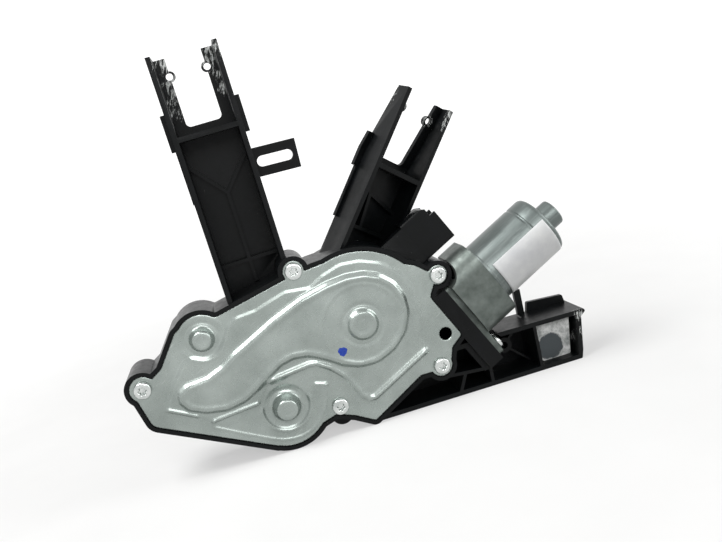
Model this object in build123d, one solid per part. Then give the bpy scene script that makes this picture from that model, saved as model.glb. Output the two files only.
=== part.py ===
from build123d import *
import math
import os

# Rear window wiper motor: a moulded gear housing with three forked arms, closed by a pressed
# cover plate, and a brushed motor bolted to its side. A worm turns a wheel, its crank pin and
# a connecting rod swing a toothed lever, and that lever turns the output gear.
#
# Frame: millimetres. X runs along the housing and Z is up as the unit stands on its lower rim
# and the lower arm. Y is the output shaft's axis and points the way the shaft leaves.
# "Depth" is measured along Y from the joint between housing and cover.

# ---- gear housing ----
HOUSING_DEPTH = 24.0
FLOOR = 2.5
RIM_WIDTH = 2.2            # moulded rim outside the cover's edge
RIM_HEIGHT = 1.8           # rim that stands in front of the joint
LEDGE = 1.4                # joint face inside the cover's edge
LUG = (27.5, -16.5)         # lug with a hole below the cover's lowest screw
LUG_RADIUS = 6.0
LUG_HOLE_RADIUS = 2.2
LUG_FRONT = 8.0
NOSE_LENGTH = 14.0
NOSE_RADIUS = 11.0
JOINT_Y = -(HOUSING_DEPTH + NOSE_LENGTH)

# ---- shaft centres, as (X, Z) ----
OUTPUT = (0.0, 0.0)
SECTOR = (-31.2, 46.5)
WHEEL = (48.5, 31.4)

# ---- cover plate ----
COVER_THICKNESS = 1.4
COVER_GAP = 0.15
STEP_HEIGHT = 0.9          # first embossed level
PLATEAU_HEIGHT = 1.9       # second embossed level, above the first
PLATEAU_RADIUS = 25.5       # raised field about the wheel
PLATEAU_END = (-42.0, 17.0) # and at the lever's pin
PLATEAU_END_RADIUS = 9.5
BEAD_RADIUS = 1.1
COVER_SCREWS = [(-65.7, 29.8), (21.2, 67.1), (93.2, 44.9), (84.4, -3.2), (26.8, -8.3)]
LOCATING_HOLE = (90.4, 13.0)
LOCATING_HOLE_RADIUS = 3.4
SCREW_HEAD_RADIUS = 4.1
SCREW_HEAD_HEIGHT = 2.6
SCREW_RADIUS = 1.9
SCREW_LENGTH = 12.0
SCREW_BOSS_RADIUS = 4.4
GASKET_THICKNESS = 0.5

# ---- gear train ----
WORM_CENTRE_DISTANCE = 30.5
WORM_PITCH_RADIUS = 5.0
WORM_MODULE = 1.5
WORM_LENGTH = 30.0
MOTOR_ANGLE = 27.3         # the motor's axis above X
MOTOR_DEPTH = 11.0         # the motor's axis behind the joint
WHEEL_TEETH = 34
WHEEL_WIDTH = 8.0
WHEEL_AXLE_RADIUS = 4.0
CRANK_RADIUS = 10.0
CRANK_PIN_RADIUS = 3.0
LEVER_RADIUS = 29.0
LEVER_ANGLE = -115.2       # the lever's pin seen from its shaft, at rest
ROD_FRONT = 1.6
ROD_THICKNESS = 3.4
ROD_WIDTH = 8.0
ROD_EYE_RADIUS = 5.5
SECTOR_MODULE = 1.6
SECTOR_TEETH = 50          # on the full circle
OUTPUT_TEETH = 20
SECTOR_FRONT = 6.2
SECTOR_THICKNESS = 5.0
SHAFT_RADIUS = 4.5
OUTPUT_SHAFT_RADIUS = 5.0
OUTPUT_LENGTH = 24.0       # shaft beyond the nose
RUNNING_CLEARANCE = 0.05
SEAT_GAP = 0.3
BACKLASH = 0.25

# ---- motor ----
CAN_RADIUS = 17.8
CAN_WALL = 1.4
CAN_START = 66.6           # along the motor's axis from the worm's middle
CAN_LENGTH = 42.0
CUP_RADIUS = 7.6
CUP_LENGTH = 10.0
FLANGE_START = 43.6
FLANGE_THICKNESS = 3.0
FLANGE_LENGTH = 50.0
FLANGE_DEPTH = 20.0
FLANGE_SHIFT = 12.0        # the flange's middle, across the axis
ADAPTOR_WIDTH = 46.0
ADAPTOR_DEPTH = 36.0
ARMATURE_SHAFT_RADIUS = 3.0
ARMATURE_RADIUS = 12.8
ARMATURE_SLOTS = 8
MAGNET_GAP = 0.6

# ---- arms: forked channels, open to the front, with their web at the housing's back ----
ARM_WALL = 2.5
ARM_FRONT = 1.0
FORK_GAP = 18.5
FORK_HOLE_RADIUS = 1.8
UPPER_ARM_BASE = (3.4, 50.0)
UPPER_ARM_TOP = 183.6
UPPER_ARM_WIDTH = 34.6
UPPER_ARM_LEAN = 2.5       # degrees
UPPER_NOTCH_DEPTH = 35.0
MIDDLE_ARM_EDGE = (48.6, 73.2)
MIDDLE_ARM_ANGLE = 52.5
MIDDLE_ARM_TWIST = 22.0
MIDDLE_ARM_WIDTH = 32.0
MIDDLE_ARM_LENGTH = 86.0
MIDDLE_NOTCH_DEPTH = 36.0
MIDDLE_ARM_DEPTH = 17.0
MIDDLE_TIP_DEPTH = 9.0
RIB_WIDTH = 1.8
UPPER_RIB_HEIGHT = 3.0
MIDDLE_RIB_HEIGHT = 4.0
LOWER_ARM_BOTTOM = -24.0
LOWER_ARM_TOP = 3.6
LOWER_ARM_END = 164.0
LOWER_ARM_TIP = 170.5
LOWER_NOTCH_START = 143.0
LOWER_NOTCH_END = 162.0
BRACKET_LEVEL = 123.0
BRACKET_END = 40.8
BRACKET_HEIGHT = 15.2
BRACKET_THICKNESS = 3.0
BRACKET_SLOT_RADIUS = 2.8
BRACKET_SLOT_LENGTH = 19.0

# ---- connector ----
CONNECTOR_ACROSS = -41.1   # across the motor's axis
CONNECTOR_WIDTH = 23.6
CONNECTOR_DEPTH = 11.0
CONNECTOR_START = 48.0
CONNECTOR_END = 67.3
CONNECTOR_WALL = 1.5
TERMINALS = 4

# ---- seats ----
SEAT_CLEARANCE = 0.02
MOTOR_FLOOR = HOUSING_DEPTH - FLOOR - MOTOR_DEPTH
THRUST_END = -22.0
THRUST_BLOCK_WIDTH = 11.0
TUNNEL_RADIUS = 8.0
SPIGOT_RADIUS = 11.0
SPIGOT_START = 38.0
BEARING_RADIUS = 6.5
ADAPTOR_SCREW_ACROSS = 31.0
ADAPTOR_SCREW_DEPTHS = (-5.6, 5.6)
PIN_BOSS = 3.0
BUSH_RADIUS = 7.0
SEAL_LENGTH = 2.5
COVER_JOURNAL = 4.4
OUTPUT_JOURNAL = 6.6
SECTOR_JOURNAL = 4.8
WHEEL_CUP_RADIUS = 8.0
WHEEL_CUP_HEIGHT = 6.6
BRUSH_LENGTH = 4.6
BRUSH_WIDTH = 4.8
HOLDER_WALL = 0.8
CLIP_START = 0.4
SPRING_LENGTH = 1.8
ADAPTOR_LIP = 1.4          # wall of the adaptor's lip inside the can
SHAFT_RADII = {SECTOR: SHAFT_RADIUS, WHEEL: WHEEL_AXLE_RADIUS}
SCALLOP_RADIUS = 9.0
CORE_START = 74.0
CORE_LENGTH = 26.0
COMMUTATOR_RADIUS = 7.0
COMMUTATOR_START = 57.0
BRUSH_TAIL = COMMUTATOR_RADIUS + 0.1 + BRUSH_LENGTH    # radius at a brush's outer end
CARD_START = 65.6

os.makedirs("parts", exist_ok=True)

TURN = math.radians(MOTOR_ANGLE)
ALONG = (math.cos(TURN), math.sin(TURN))
ACROSS = (math.sin(TURN), -math.cos(TURN))
WORM_CENTRE = (
    WHEEL[0] + WORM_CENTRE_DISTANCE * ACROSS[0],
    WHEEL[1] + WORM_CENTRE_DISTANCE * ACROSS[1],
)


def face_plane(depth):
    """The plane at a depth: sketches on it are drawn as (X, Z), with the normal to the viewer."""
    return Plane(origin=(0, JOINT_Y + depth, 0), x_dir=(1, 0, 0), z_dir=(0, -1, 0))


def deep(sketch, front, back):
    """A sketch in (X, Z), extruded from one depth to another."""
    return extrude(face_plane(front) * sketch, amount=-(back - front))


def disc(centre, radius, front, back):
    return deep(Pos(*centre) * Circle(radius), front, back)


def ring(centre, outer, inner, front, back):
    return disc(centre, outer, front, back) - disc(centre, inner, front - 1, back + 1)


def outline(corners):
    """A closed face from (x, z, corner radius) points."""
    points = [(x, z) for x, z, _ in corners]
    face = make_face(Polyline(*points, close=True))
    for x, z, radius in corners:
        if radius > 0:
            near = min(face.vertices(), key=lambda v: (v.X - x) ** 2 + (v.Y - z) ** 2)
            face = fillet(near, radius)
    return face


def motor_plane(along):
    """The plane across the motor's axis: local x is across, local y is depth."""
    return Plane(
        origin=(
            WORM_CENTRE[0] + ALONG[0] * along,
            JOINT_Y + MOTOR_DEPTH,
            WORM_CENTRE[1] + ALONG[1] * along,
        ),
        x_dir=(ACROSS[0], 0, ACROSS[1]),
        z_dir=(ALONG[0], 0, ALONG[1]),
    )


def on_motor(sketch, start, end):
    return extrude(motor_plane(start) * sketch, amount=end - start)


def motor_disc(radius, start, end):
    return on_motor(Circle(radius), start, end)


def motor_ring(outer, inner, start, end):
    return on_motor(Circle(outer) - Circle(inner), start, end)


def involute(angle):
    return math.tan(angle) - angle


def tooth_points(teeth, module, backlash, first=0.0, count=None):
    """The points of a run of involute teeth, one tooth centred on the first angle in degrees."""
    pitch_radius = module * teeth / 2
    base_radius = pitch_radius * math.cos(math.radians(20))
    tip_radius = pitch_radius + module
    root_radius = pitch_radius - 1.25 * module
    half_at_pitch = math.pi / (2 * teeth) - backlash / (2 * pitch_radius)
    half_at_base = half_at_pitch + involute(math.radians(20))
    start_radius = max(base_radius, root_radius)
    radii = [start_radius + (tip_radius - start_radius) * k / 3 for k in range(4)]
    flank = [(root_radius, half_at_base)] if root_radius < base_radius else []
    for radius in radii:
        flank.append((radius, half_at_base - involute(math.acos(base_radius / radius))))
    points = []
    for tooth in range(count or teeth):
        middle = math.radians(first) + 2 * math.pi * tooth / teeth
        sides = [(r, -half) for r, half in flank] + [(r, half) for r, half in reversed(flank)]
        for radius, angle in sides:
            points.append((radius * math.cos(middle + angle), radius * math.sin(middle + angle)))
    return points


def write(name, shape):
    export_step(shape, f"parts/{name}.step")


# ---- outlines ----
PLATE_CORNERS = [
    (-66.5, 9.8, 6),
    (-70.5, 26.5, 3),
    (-60.2, 34.0, 3),
    (-54.5, 37.6, 4),
    (-43.5, 53.0, 3),
    (-36.0, 57.6, 0),
    (-21.0, 55.6, 3),
    (13.5, 63.8, 2),
    (31.0, 66.6, 2),
    (49.0, 68.0, 0),
    (83.0, 53.0, 0),
    (90.0, 47.0, 0),
    (90.2, 40.0, 3),
    (86.9, 34.5, 3),
    (99.2, 10.0, 2.5),
    (92.6, 4.6, 3),
    (90.2, -3.0, 0),
    (80.0, -5.5, 0),
    (72.6, -5.4, 3),
    (43.2, -22.2, 2),
    (33.2, -16.2, 3),
    (24.0, -12.4, 3),
    (15.5, -15.0, 0),
    (-9.5, -19.7, 0),
]
PLATE_ROUNDS = [
    (OUTPUT, 21.7),
    (SECTOR, 12.6),
    (WHEEL, 37.6),
    (COVER_SCREWS[0], 6.8),
    (COVER_SCREWS[1], 5.6),
    (COVER_SCREWS[2], 5.4),
    (COVER_SCREWS[3], 6.2),
    (COVER_SCREWS[4], 4.6),
]


def plate_outline(grow=0.0):
    """The cover's outline, grown by a margin."""
    face = outline(PLATE_CORNERS)
    if grow:
        face = offset(face, grow)
    for centre, radius in PLATE_ROUNDS:
        face += Pos(*centre) * Circle(radius + grow)
    return face


def plateau_outline():
    """The raised field over the crank, the rod and the lever's pin."""
    face = outline([
        (-42.0, 26.3, 0),
        (-28.0, 28.4, 10),
        (-7.0, 42.3, 20),
        (20.5, 53.0, 25),
        (47.0, 55.4, 0),
        (60.0, 31.0, 0),
        (44.0, 7.3, 0),
        (13.5, 23.0, 10),
        (-9.0, 11.6, 14),
        (-29.0, 6.3, 8),
        (-40.0, 7.8, 0),
    ])
    face += Pos(*WHEEL) * Circle(PLATEAU_RADIUS)
    face += Pos(*PLATEAU_END) * Circle(PLATEAU_END_RADIUS)
    return face


def step_outline():
    """The first level: a round field about the wheel with a tongue along the worm."""
    tongue = outline([
        (77.5, 9.0, 3),
        (44.0, -9.0, 3),
        (37.0, -5.0, 3),
        (29.0, 9.0, 2),
        (20.0, 17.0, 2),
        (30.0, 40.0, 0),
        (78.0, 40.0, 0),
    ])
    left = outline([
        (-59.0, 15.0, 3),
        (-52.0, 36.0, 4),
        (-20.0, 42.0, 6),
        (-8.0, 53.0, 5),
        (30.0, 58.0, 0),
        (40.0, 30.0, 0),
        (2.0, 19.0, 6),
        (-14.0, 8.0, 5),
        (-48.0, 2.5, 4),
    ])
    field = Pos(*WHEEL) * Circle(33.2)
    return field + tongue + left


# ---- gear housing ----
def arm_plane(origin, angle, twist, front):
    """A plane whose local y runs along an arm and whose normal leaves its open side."""
    lean, turn = math.radians(angle), math.radians(twist)
    along = Vector(math.cos(lean), 0, math.sin(lean))
    flat = Vector(math.sin(lean), 0, -math.cos(lean))
    across = flat * math.cos(turn) + Vector(0, math.sin(turn), 0)
    return Plane(
        origin=(origin[0], JOINT_Y + front, origin[1]),
        x_dir=across,
        z_dir=across.cross(along),
    )


def box_on(plane, x0, x1, y0, y1, front, back):
    """A box between local x and y limits, from one depth behind the plane to another."""
    sketch = Pos((x0 + x1) / 2, (y0 + y1) / 2) * Rectangle(x1 - x0, y1 - y0)
    return extrude(Plane(plane.origin - plane.z_dir * front, plane.x_dir, plane.z_dir) * sketch,
                   amount=-(back - front))


def side_block(plane, x0, x1, profile):
    """A side view of (along the arm, depth) points, extruded between two local x places."""
    side = Plane(plane.origin + plane.x_dir * x0, x_dir=plane.y_dir, z_dir=plane.x_dir)
    face = make_face(Polyline(*[(along, -depth) for along, depth in profile], close=True))
    return extrude(side * face, amount=x1 - x0)


def fork_solids(plane, width, start, end, depth, tip_depth, notch):
    """Solid and hollow of a forked channel that lies along local y, with its edge at x = 0.

    The channel keeps its depth up to the notch and grows shallower towards the tips."""
    notch_start = end - notch
    taper = (depth - tip_depth) / notch
    solid = side_block(plane, 0, width, [(start, 0), (end, 0), (end, tip_depth),
                                         (notch_start, depth), (start, depth)])
    hollow_end = notch_start - 4 - ARM_WALL
    hollow = side_block(plane, ARM_WALL, width - ARM_WALL, [
        (start, -1), (hollow_end, -1), (hollow_end, depth - FLOOR), (start, depth - FLOOR),
    ])
    hollow += side_block(plane, ARM_WALL, width - ARM_WALL, [
        (notch_start - 4, -1), (end + 1, -1), (end + 1, tip_depth - taper - FLOOR),
        (notch_start, depth - FLOOR), (notch_start - 4, depth - FLOOR),
    ])
    side = (width - FORK_GAP) / 2
    gap = Pos(width / 2, notch_start + notch) * Rectangle(FORK_GAP, 2 * notch)
    gap = fillet(gap.vertices().group_by(Axis.Y)[0], 2.5)
    lip = Pos(side, end - 9.0) * Circle(2.6) + Pos(width - side, end - 9.0) * Circle(2.6)
    back = Plane(plane.origin - plane.z_dir * (depth + 5), plane.x_dir, plane.z_dir)
    cut = extrude(back * (gap - lip), amount=depth + 10)
    for x in (side - 0.4, width - side + 0.4):
        cut += extrude(back * (Pos(x, end - 9.0) * Circle(FORK_HOLE_RADIUS)), amount=depth + 6)
    wing = side_block(plane, -3.2, width + 3.2, [
        (notch_start - 10, depth - FLOOR), (notch_start, depth - FLOOR),
        (notch_start + 9, depth - FLOOR - 9 * taper), (notch_start + 9, depth - 9 * taper),
        (notch_start, depth), (notch_start - 10, depth),
    ])
    wing += box_on(plane, -1.4, 1.0, notch_start - 38, notch_start - 8, depth - FLOOR, depth)
    return solid + wing, hollow, cut


def floor_ribs(plane, depth, lines, height, width):
    """Ribs that stand on a channel's floor, along lines between local points."""
    floor_plane = Plane(plane.origin - plane.z_dir * (depth - FLOOR), plane.x_dir, plane.z_dir)
    return [extrude(floor_plane * strip(start, end, width), amount=height)
            for start, end in lines]


def upper_arm_plane():
    angle = 90 + UPPER_ARM_LEAN
    turn = math.radians(UPPER_ARM_LEAN)
    half = UPPER_ARM_WIDTH / 2
    origin = (
        UPPER_ARM_BASE[0] - half * math.cos(turn),
        UPPER_ARM_BASE[1] - half * math.sin(turn),
    )
    return arm_plane(origin, angle, 0, ARM_FRONT)


def lower_arm_outline():
    return outline([
        (36.0, -14.0, 0),
        (44.0, LOWER_ARM_BOTTOM, 1.0),
        (LOWER_ARM_END, LOWER_ARM_BOTTOM, 1.0),
        (LOWER_ARM_END + 1.2, LOWER_ARM_BOTTOM + 5.0, 0.8),
        (LOWER_ARM_TIP - 3.0, LOWER_ARM_TOP - 4.0, 0.8),
        (LOWER_ARM_TIP, LOWER_ARM_TOP - 1.5, 0.8),
        (LOWER_ARM_TIP - 1.0, LOWER_ARM_TOP, 0.5),
        (117.0, LOWER_ARM_TOP + 0.6, 0),
        (92.0, LOWER_ARM_TOP, 0),
        (72.0, -5.0, 0),
    ])


def lower_arm_wing():
    """The wing that stands above the lower arm at its back, with a peg at its start."""
    start = LOWER_NOTCH_START
    wing = outline([
        (start + 1.0, LOWER_ARM_TOP - 3.0, 0),
        (start + 3.0, LOWER_ARM_TOP + 6.0, 1.0),
        (LOWER_ARM_TIP - 3.0, LOWER_ARM_TOP + 4.5, 1.0),
        (LOWER_ARM_TIP - 1.5, LOWER_ARM_TOP - 3.0, 0),
    ])
    peg = Pos(start - 1.5, LOWER_ARM_TOP + 6.0) * Rectangle(4.0, 17.0)
    return deep(wing + peg, HOUSING_DEPTH - FLOOR, HOUSING_DEPTH)


def lower_arm_ribs(depth_front, depth_back):
    """The crossed cell behind the motor flange and the ribs of the bay below the cover."""
    centre = (125.6, -8.6)
    reach = (13.5, 12.6)
    ribs = ring(centre, 4.4, 2.0, depth_front, depth_back)
    for sx in (-1, 1):
        for sz in (-1, 1):
            end = (centre[0] + sx * reach[0], centre[1] + sz * reach[1])
            start = (centre[0] + sx * 3.0, centre[1] + sz * 3.0)
            ribs += deep(strip(start, end, 1.3), depth_front, depth_back)
    for start, end in LOWER_ARM_RIBS:
        ribs += deep(strip(start, end, 1.8), ARM_FRONT, depth_back)
    return ribs


def strip(start, end, width):
    """A straight strip between two points, as a sketch."""
    length = math.hypot(end[0] - start[0], end[1] - start[1])
    turn = math.degrees(math.atan2(end[1] - start[1], end[0] - start[0]))
    middle = ((start[0] + end[0]) / 2, (start[1] + end[1]) / 2)
    return Pos(*middle) * Rot(0, 0, turn) * Rectangle(length, width)


UPPER_ARM_RIBS = [
    ((UPPER_ARM_WIDTH / 2, 14.0), (UPPER_ARM_WIDTH / 2, 62.0)),
    ((ARM_WALL - 0.5, 26.0), (UPPER_ARM_WIDTH - ARM_WALL + 0.5, 26.0)),
    ((ARM_WALL - 0.5, 80.0), (UPPER_ARM_WIDTH / 2, 62.0)),
    ((UPPER_ARM_WIDTH - ARM_WALL + 0.5, 80.0), (UPPER_ARM_WIDTH / 2, 62.0)),
]
MIDDLE_ARM_RIBS = [
    ((ARM_WALL - 0.5, 11.0), (MIDDLE_ARM_WIDTH - ARM_WALL + 0.5, 11.0)),
    ((ARM_WALL - 0.5, 41.0), (11.0, 30.0)),
    ((11.0, 30.0), (13.5, 11.0)),
    ((11.0, 30.0), (MIDDLE_ARM_WIDTH - ARM_WALL + 0.5, 25.0)),
]
LOWER_ARM_RIBS = [
    ((140.0, -22.0), (140.0, 2.0)),
    ((111.0, -22.0), (111.0, 2.0)),
    ((84.0, -11.0), (112.0, -13.5)),
    ((97.0, -12.0), (92.0, -22.5)),
]


def gear_housing():
    rim = plate_outline(RIM_WIDTH)
    keep = deep(rim, -30, 60)
    solid = deep(rim, -RIM_HEIGHT, HOUSING_DEPTH)
    solid += on_motor(Pos(12.0, 0.4) * Rectangle(51.0, 26.0), FLANGE_START - 9.0, FLANGE_START)
    solid += on_motor(
        Pos(CONNECTOR_ACROSS, 0) * Rectangle(CONNECTOR_WIDTH - 2, CONNECTOR_DEPTH + 3),
        30.0,
        CONNECTOR_START,
    )
    solid += disc(OUTPUT, NOSE_RADIUS, HOUSING_DEPTH - 1, HOUSING_DEPTH + NOSE_LENGTH)
    solid += disc(LUG, LUG_RADIUS, LUG_FRONT, HOUSING_DEPTH)
    solid -= disc(LUG, LUG_HOLE_RADIUS, LUG_FRONT - 1, HOUSING_DEPTH + 1)

    upper = upper_arm_plane()
    upper_end = UPPER_ARM_TOP - UPPER_ARM_BASE[1]
    parts = fork_solids(upper, UPPER_ARM_WIDTH, 0, upper_end, HOUSING_DEPTH - ARM_FRONT,
                        HOUSING_DEPTH - ARM_FRONT, UPPER_NOTCH_DEPTH)
    middle = arm_plane(MIDDLE_ARM_EDGE, MIDDLE_ARM_ANGLE, MIDDLE_ARM_TWIST, ARM_FRONT)
    more = fork_solids(middle, MIDDLE_ARM_WIDTH, -26, MIDDLE_ARM_LENGTH, MIDDLE_ARM_DEPTH,
                       MIDDLE_TIP_DEPTH, MIDDLE_NOTCH_DEPTH)
    lower = deep(lower_arm_outline(), ARM_FRONT, HOUSING_DEPTH)
    lower_hollow = deep(offset(lower_arm_outline(), -ARM_WALL), ARM_FRONT - 3,
                        HOUSING_DEPTH - FLOOR)
    lower_hollow -= on_motor(Pos(12.0, 0.4) * Rectangle(51.0, 26.0), FLANGE_START - 12.0,
                             FLANGE_START)
    solid += parts[0] + more[0] + lower + lower_arm_wing()
    hollow = (parts[1] + more[1] + lower_hollow) - keep
    solid = solid - hollow - parts[2] - more[2]
    for rib in floor_ribs(upper, HOUSING_DEPTH - ARM_FRONT, UPPER_ARM_RIBS, UPPER_RIB_HEIGHT,
                          RIB_WIDTH):
        solid += rib
    for rib in floor_ribs(middle, MIDDLE_ARM_DEPTH, MIDDLE_ARM_RIBS, MIDDLE_RIB_HEIGHT, RIB_WIDTH):
        solid += rib

    floor_depth = HOUSING_DEPTH - FLOOR
    cavity = deep(plate_outline(-LEDGE), GASKET_THICKNESS, floor_depth)
    for centre in COVER_SCREWS:
        cavity -= disc(centre, SCREW_BOSS_RADIUS, -1, floor_depth + 1)
    solid -= cavity
    solid -= deep(plate_outline(COVER_GAP), -RIM_HEIGHT - 3, GASKET_THICKNESS)
    solid += on_motor(
        Pos(0, (MOTOR_FLOOR - 6.0) / 2) * Rectangle(THRUST_BLOCK_WIDTH, MOTOR_FLOOR + 6.2),
        THRUST_END - 5.0,
        THRUST_END + 3.0,
    )
    solid -= motor_disc(ARMATURE_SHAFT_RADIUS + RUNNING_CLEARANCE, THRUST_END - 1.0,
                        THRUST_END + 5.0)
    solid -= motor_disc(TUNNEL_RADIUS, WORM_LENGTH / 2, FLANGE_START + 1)
    solid -= motor_disc(SPIGOT_RADIUS + SEAT_CLEARANCE, SPIGOT_START, FLANGE_START + 1)
    solid += lower_arm_ribs(HOUSING_DEPTH - FLOOR - 7.0, HOUSING_DEPTH - FLOOR)
    for depth in ADAPTOR_SCREW_DEPTHS:
        solid -= on_motor(Pos(ADAPTOR_SCREW_ACROSS, depth) * Circle(SCREW_RADIUS + 0.02),
                          FLANGE_START - SCREW_LENGTH + FLANGE_THICKNESS, FLANGE_START + 1)
    for centre, radius in ((SECTOR, 9.0), (WHEEL, 8.0)):
        solid += disc(centre, radius, floor_depth, HOUSING_DEPTH + PIN_BOSS)
        solid -= disc(centre, SHAFT_RADII[centre] + SEAT_CLEARANCE, floor_depth - 1,
                      HOUSING_DEPTH + PIN_BOSS - 1.5)
    solid -= disc(OUTPUT, BUSH_RADIUS, floor_depth - 1, HOUSING_DEPTH + NOSE_LENGTH + 1)
    for centre in COVER_SCREWS:
        solid -= disc(centre, SCREW_RADIUS + 0.02, -5, SCREW_LENGTH)
    solid += slotted_bracket()
    solid -= on_motor(
        Pos(CONNECTOR_ACROSS, 0) * Rectangle(CONNECTOR_WIDTH + SEAT_GAP, CONNECTOR_DEPTH + SEAT_GAP),
        CONNECTOR_START,
        CONNECTOR_END + 2.0,
    )
    pocket = FLANGE_THICKNESS + SCREW_HEAD_HEIGHT + 1.0
    solid -= on_motor(flange_outline(0.3), FLANGE_START, FLANGE_START + pocket)
    return solid


def slotted_bracket():
    root = UPPER_ARM_BASE[0] + UPPER_ARM_WIDTH / 2 - 3.4
    length = BRACKET_END - root
    plate = Pos(root + length / 2, BRACKET_LEVEL) * Rectangle(length, BRACKET_HEIGHT)
    slot_middle = BRACKET_END - 2.6 - BRACKET_SLOT_LENGTH / 2
    slot = Pos(slot_middle, BRACKET_LEVEL) * SlotOverall(BRACKET_SLOT_LENGTH,
                                                         2 * BRACKET_SLOT_RADIUS)
    return deep(plate - slot, HOUSING_DEPTH - BRACKET_THICKNESS, HOUSING_DEPTH)


# ---- cover ----
def embossed(face, base, height):
    """Solid and inner relief of a pressed field that stands out of the cover."""
    top = -COVER_THICKNESS - base - height
    solid = deep(face, top, -base)
    relief = deep(offset(face, -COVER_THICKNESS), top + COVER_THICKNESS, 2)
    return solid, relief


def beads():
    """Stiffening beads beside the output shaft and in the left corner."""
    sketch = Circle(19.2) - Circle(17.2)
    window = make_face(Polyline((0, 0), (-22, -34), (40, -34), (40, 11), close=True))
    sketch = sketch & window
    for start, end in BEAD_LINES:
        sketch += strip(start, end, 2 * BEAD_RADIUS)
    return deep(sketch, -COVER_THICKNESS - STEP_HEIGHT, -COVER_THICKNESS)


BEAD_LINES = [
    ((-38.0, 4.4), (-14.8, 5.4)),
    ((-38.4, -0.3), (-10.2, -15.4)),
    ((-38.0, 4.4), (-38.4, -0.3)),
    ((-58.3, 16.6), (-43.7, 8.6)),
]


def cover_plate():
    plate = deep(plate_outline(), -COVER_THICKNESS, 0)
    shaft_ring = Pos(*SECTOR) * Circle(11.5)
    first, first_relief = embossed(step_outline() - shaft_ring, 0, STEP_HEIGHT)
    second, second_relief = embossed(plateau_outline(), STEP_HEIGHT, PLATEAU_HEIGHT)
    plate += first + second + beads()
    journal_bore = COVER_JOURNAL + RUNNING_CLEARANCE
    cups = [
        (WHEEL, WHEEL_CUP_RADIUS - COVER_THICKNESS, WHEEL_CUP_HEIGHT),
        (SECTOR, journal_bore, SECTOR_JOURNAL + COVER_THICKNESS + SEAT_GAP),
        (OUTPUT, journal_bore, OUTPUT_JOURNAL + COVER_THICKNESS + SEAT_GAP),
    ]
    for centre, bore, height in cups:
        plate += disc(centre, bore + COVER_THICKNESS, -height, 0)
    plate -= first_relief
    plate -= second_relief
    for centre, bore, height in cups:
        plate -= disc(centre, bore, COVER_THICKNESS - height, 2)
    for centre in COVER_SCREWS:
        plate += ring(centre, SCREW_HEAD_RADIUS + 0.8, SCREW_RADIUS, -COVER_THICKNESS, 0)
        plate -= disc(centre, SCREW_RADIUS + 0.3, -9, 3)
    plate -= disc(LOCATING_HOLE, LOCATING_HOLE_RADIUS, -9, 3)
    return plate


def screw(plane_of, head, length):
    """A pan-head screw: its plane faces out of the head."""
    body = extrude(plane_of * Circle(SCREW_HEAD_RADIUS), amount=head)
    rims = body.edges().filter_by(GeomType.CIRCLE)
    body = fillet(rims.sort_by_distance(plane_of.origin + plane_of.z_dir * head)[0], 1.0)
    socket = Plane(plane_of.origin + plane_of.z_dir * (head - 1.4), plane_of.x_dir,
                   plane_of.z_dir)
    star = RegularPolygon(1.75, 3) + Rot(0, 0, 60) * RegularPolygon(1.75, 3)
    body -= extrude(socket * star, amount=4)
    body += extrude(plane_of * Circle(SCREW_RADIUS), amount=-length)
    return body


def cover_screws():
    screws = []
    for centre in COVER_SCREWS:
        seat = face_plane(-COVER_THICKNESS)
        plane = Plane(seat.from_local_coords(Vector(*centre, 0)), seat.x_dir, seat.z_dir)
        screws.append(screw(plane, SCREW_HEAD_HEIGHT, SCREW_LENGTH))
    return Compound(screws)


def housing_gasket():
    inner = plate_outline(-LEDGE)
    for centre in COVER_SCREWS:
        inner -= Pos(*centre) * Circle(SCREW_BOSS_RADIUS)
    face = plate_outline(-0.1) - inner
    for centre in COVER_SCREWS:
        face -= Pos(*centre) * Circle(SCREW_RADIUS + 0.3)
    return deep(face, 0, GASKET_THICKNESS)


# ---- gear train ----
def polar(centre, radius, degrees):
    turn = math.radians(degrees)
    return (centre[0] + radius * math.cos(turn), centre[1] + radius * math.sin(turn))


LEVER_PIN = polar(SECTOR, LEVER_RADIUS, LEVER_ANGLE)
ROD_ANGLE = math.degrees(math.atan2(LEVER_PIN[1] - WHEEL[1], LEVER_PIN[0] - WHEEL[0]))
CRANK_PIN = polar(WHEEL, CRANK_RADIUS, ROD_ANGLE)
MESH_ANGLE = math.degrees(math.atan2(OUTPUT[1] - SECTOR[1], OUTPUT[0] - SECTOR[0]))
LEAD_PER_MM = WORM_MODULE / (2 * WORM_PITCH_RADIUS)


def worm_wheel():
    radius = WORM_MODULE * WHEEL_TEETH / 2
    twist = math.degrees(WHEEL_WIDTH * LEAD_PER_MM / radius)
    toward_worm = math.degrees(math.atan2(ACROSS[1], ACROSS[0]))
    first = toward_worm + 180 / WHEEL_TEETH + twist / 2
    front = MOTOR_DEPTH - WHEEL_WIDTH / 2
    points = tooth_points(WHEEL_TEETH, WORM_MODULE, BACKLASH, first)
    face = face_plane(front) * (Pos(*WHEEL) * make_face(Polyline(*points, close=True)))
    centre = (WHEEL[0], JOINT_Y + front, WHEEL[1])
    body = Solid.extrude_linear_with_rotation(
        face.face(), centre, (0, WHEEL_WIDTH, 0), twist
    )
    body = Part() + body
    floor_depth = HOUSING_DEPTH - FLOOR
    body += disc(WHEEL, 8.0, front, floor_depth - SEAT_GAP)
    body -= ring(WHEEL, radius - 4.5, 10.0, front + 4.5, front + WHEEL_WIDTH + 2)
    body += disc(CRANK_PIN, 5.0, front + 1, front + WHEEL_WIDTH)
    body -= disc(WHEEL, WHEEL_AXLE_RADIUS + RUNNING_CLEARANCE, 0, HOUSING_DEPTH)
    body -= disc(CRANK_PIN, CRANK_PIN_RADIUS + SEAT_CLEARANCE, 0, front + WHEEL_WIDTH - 1)
    return body


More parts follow.
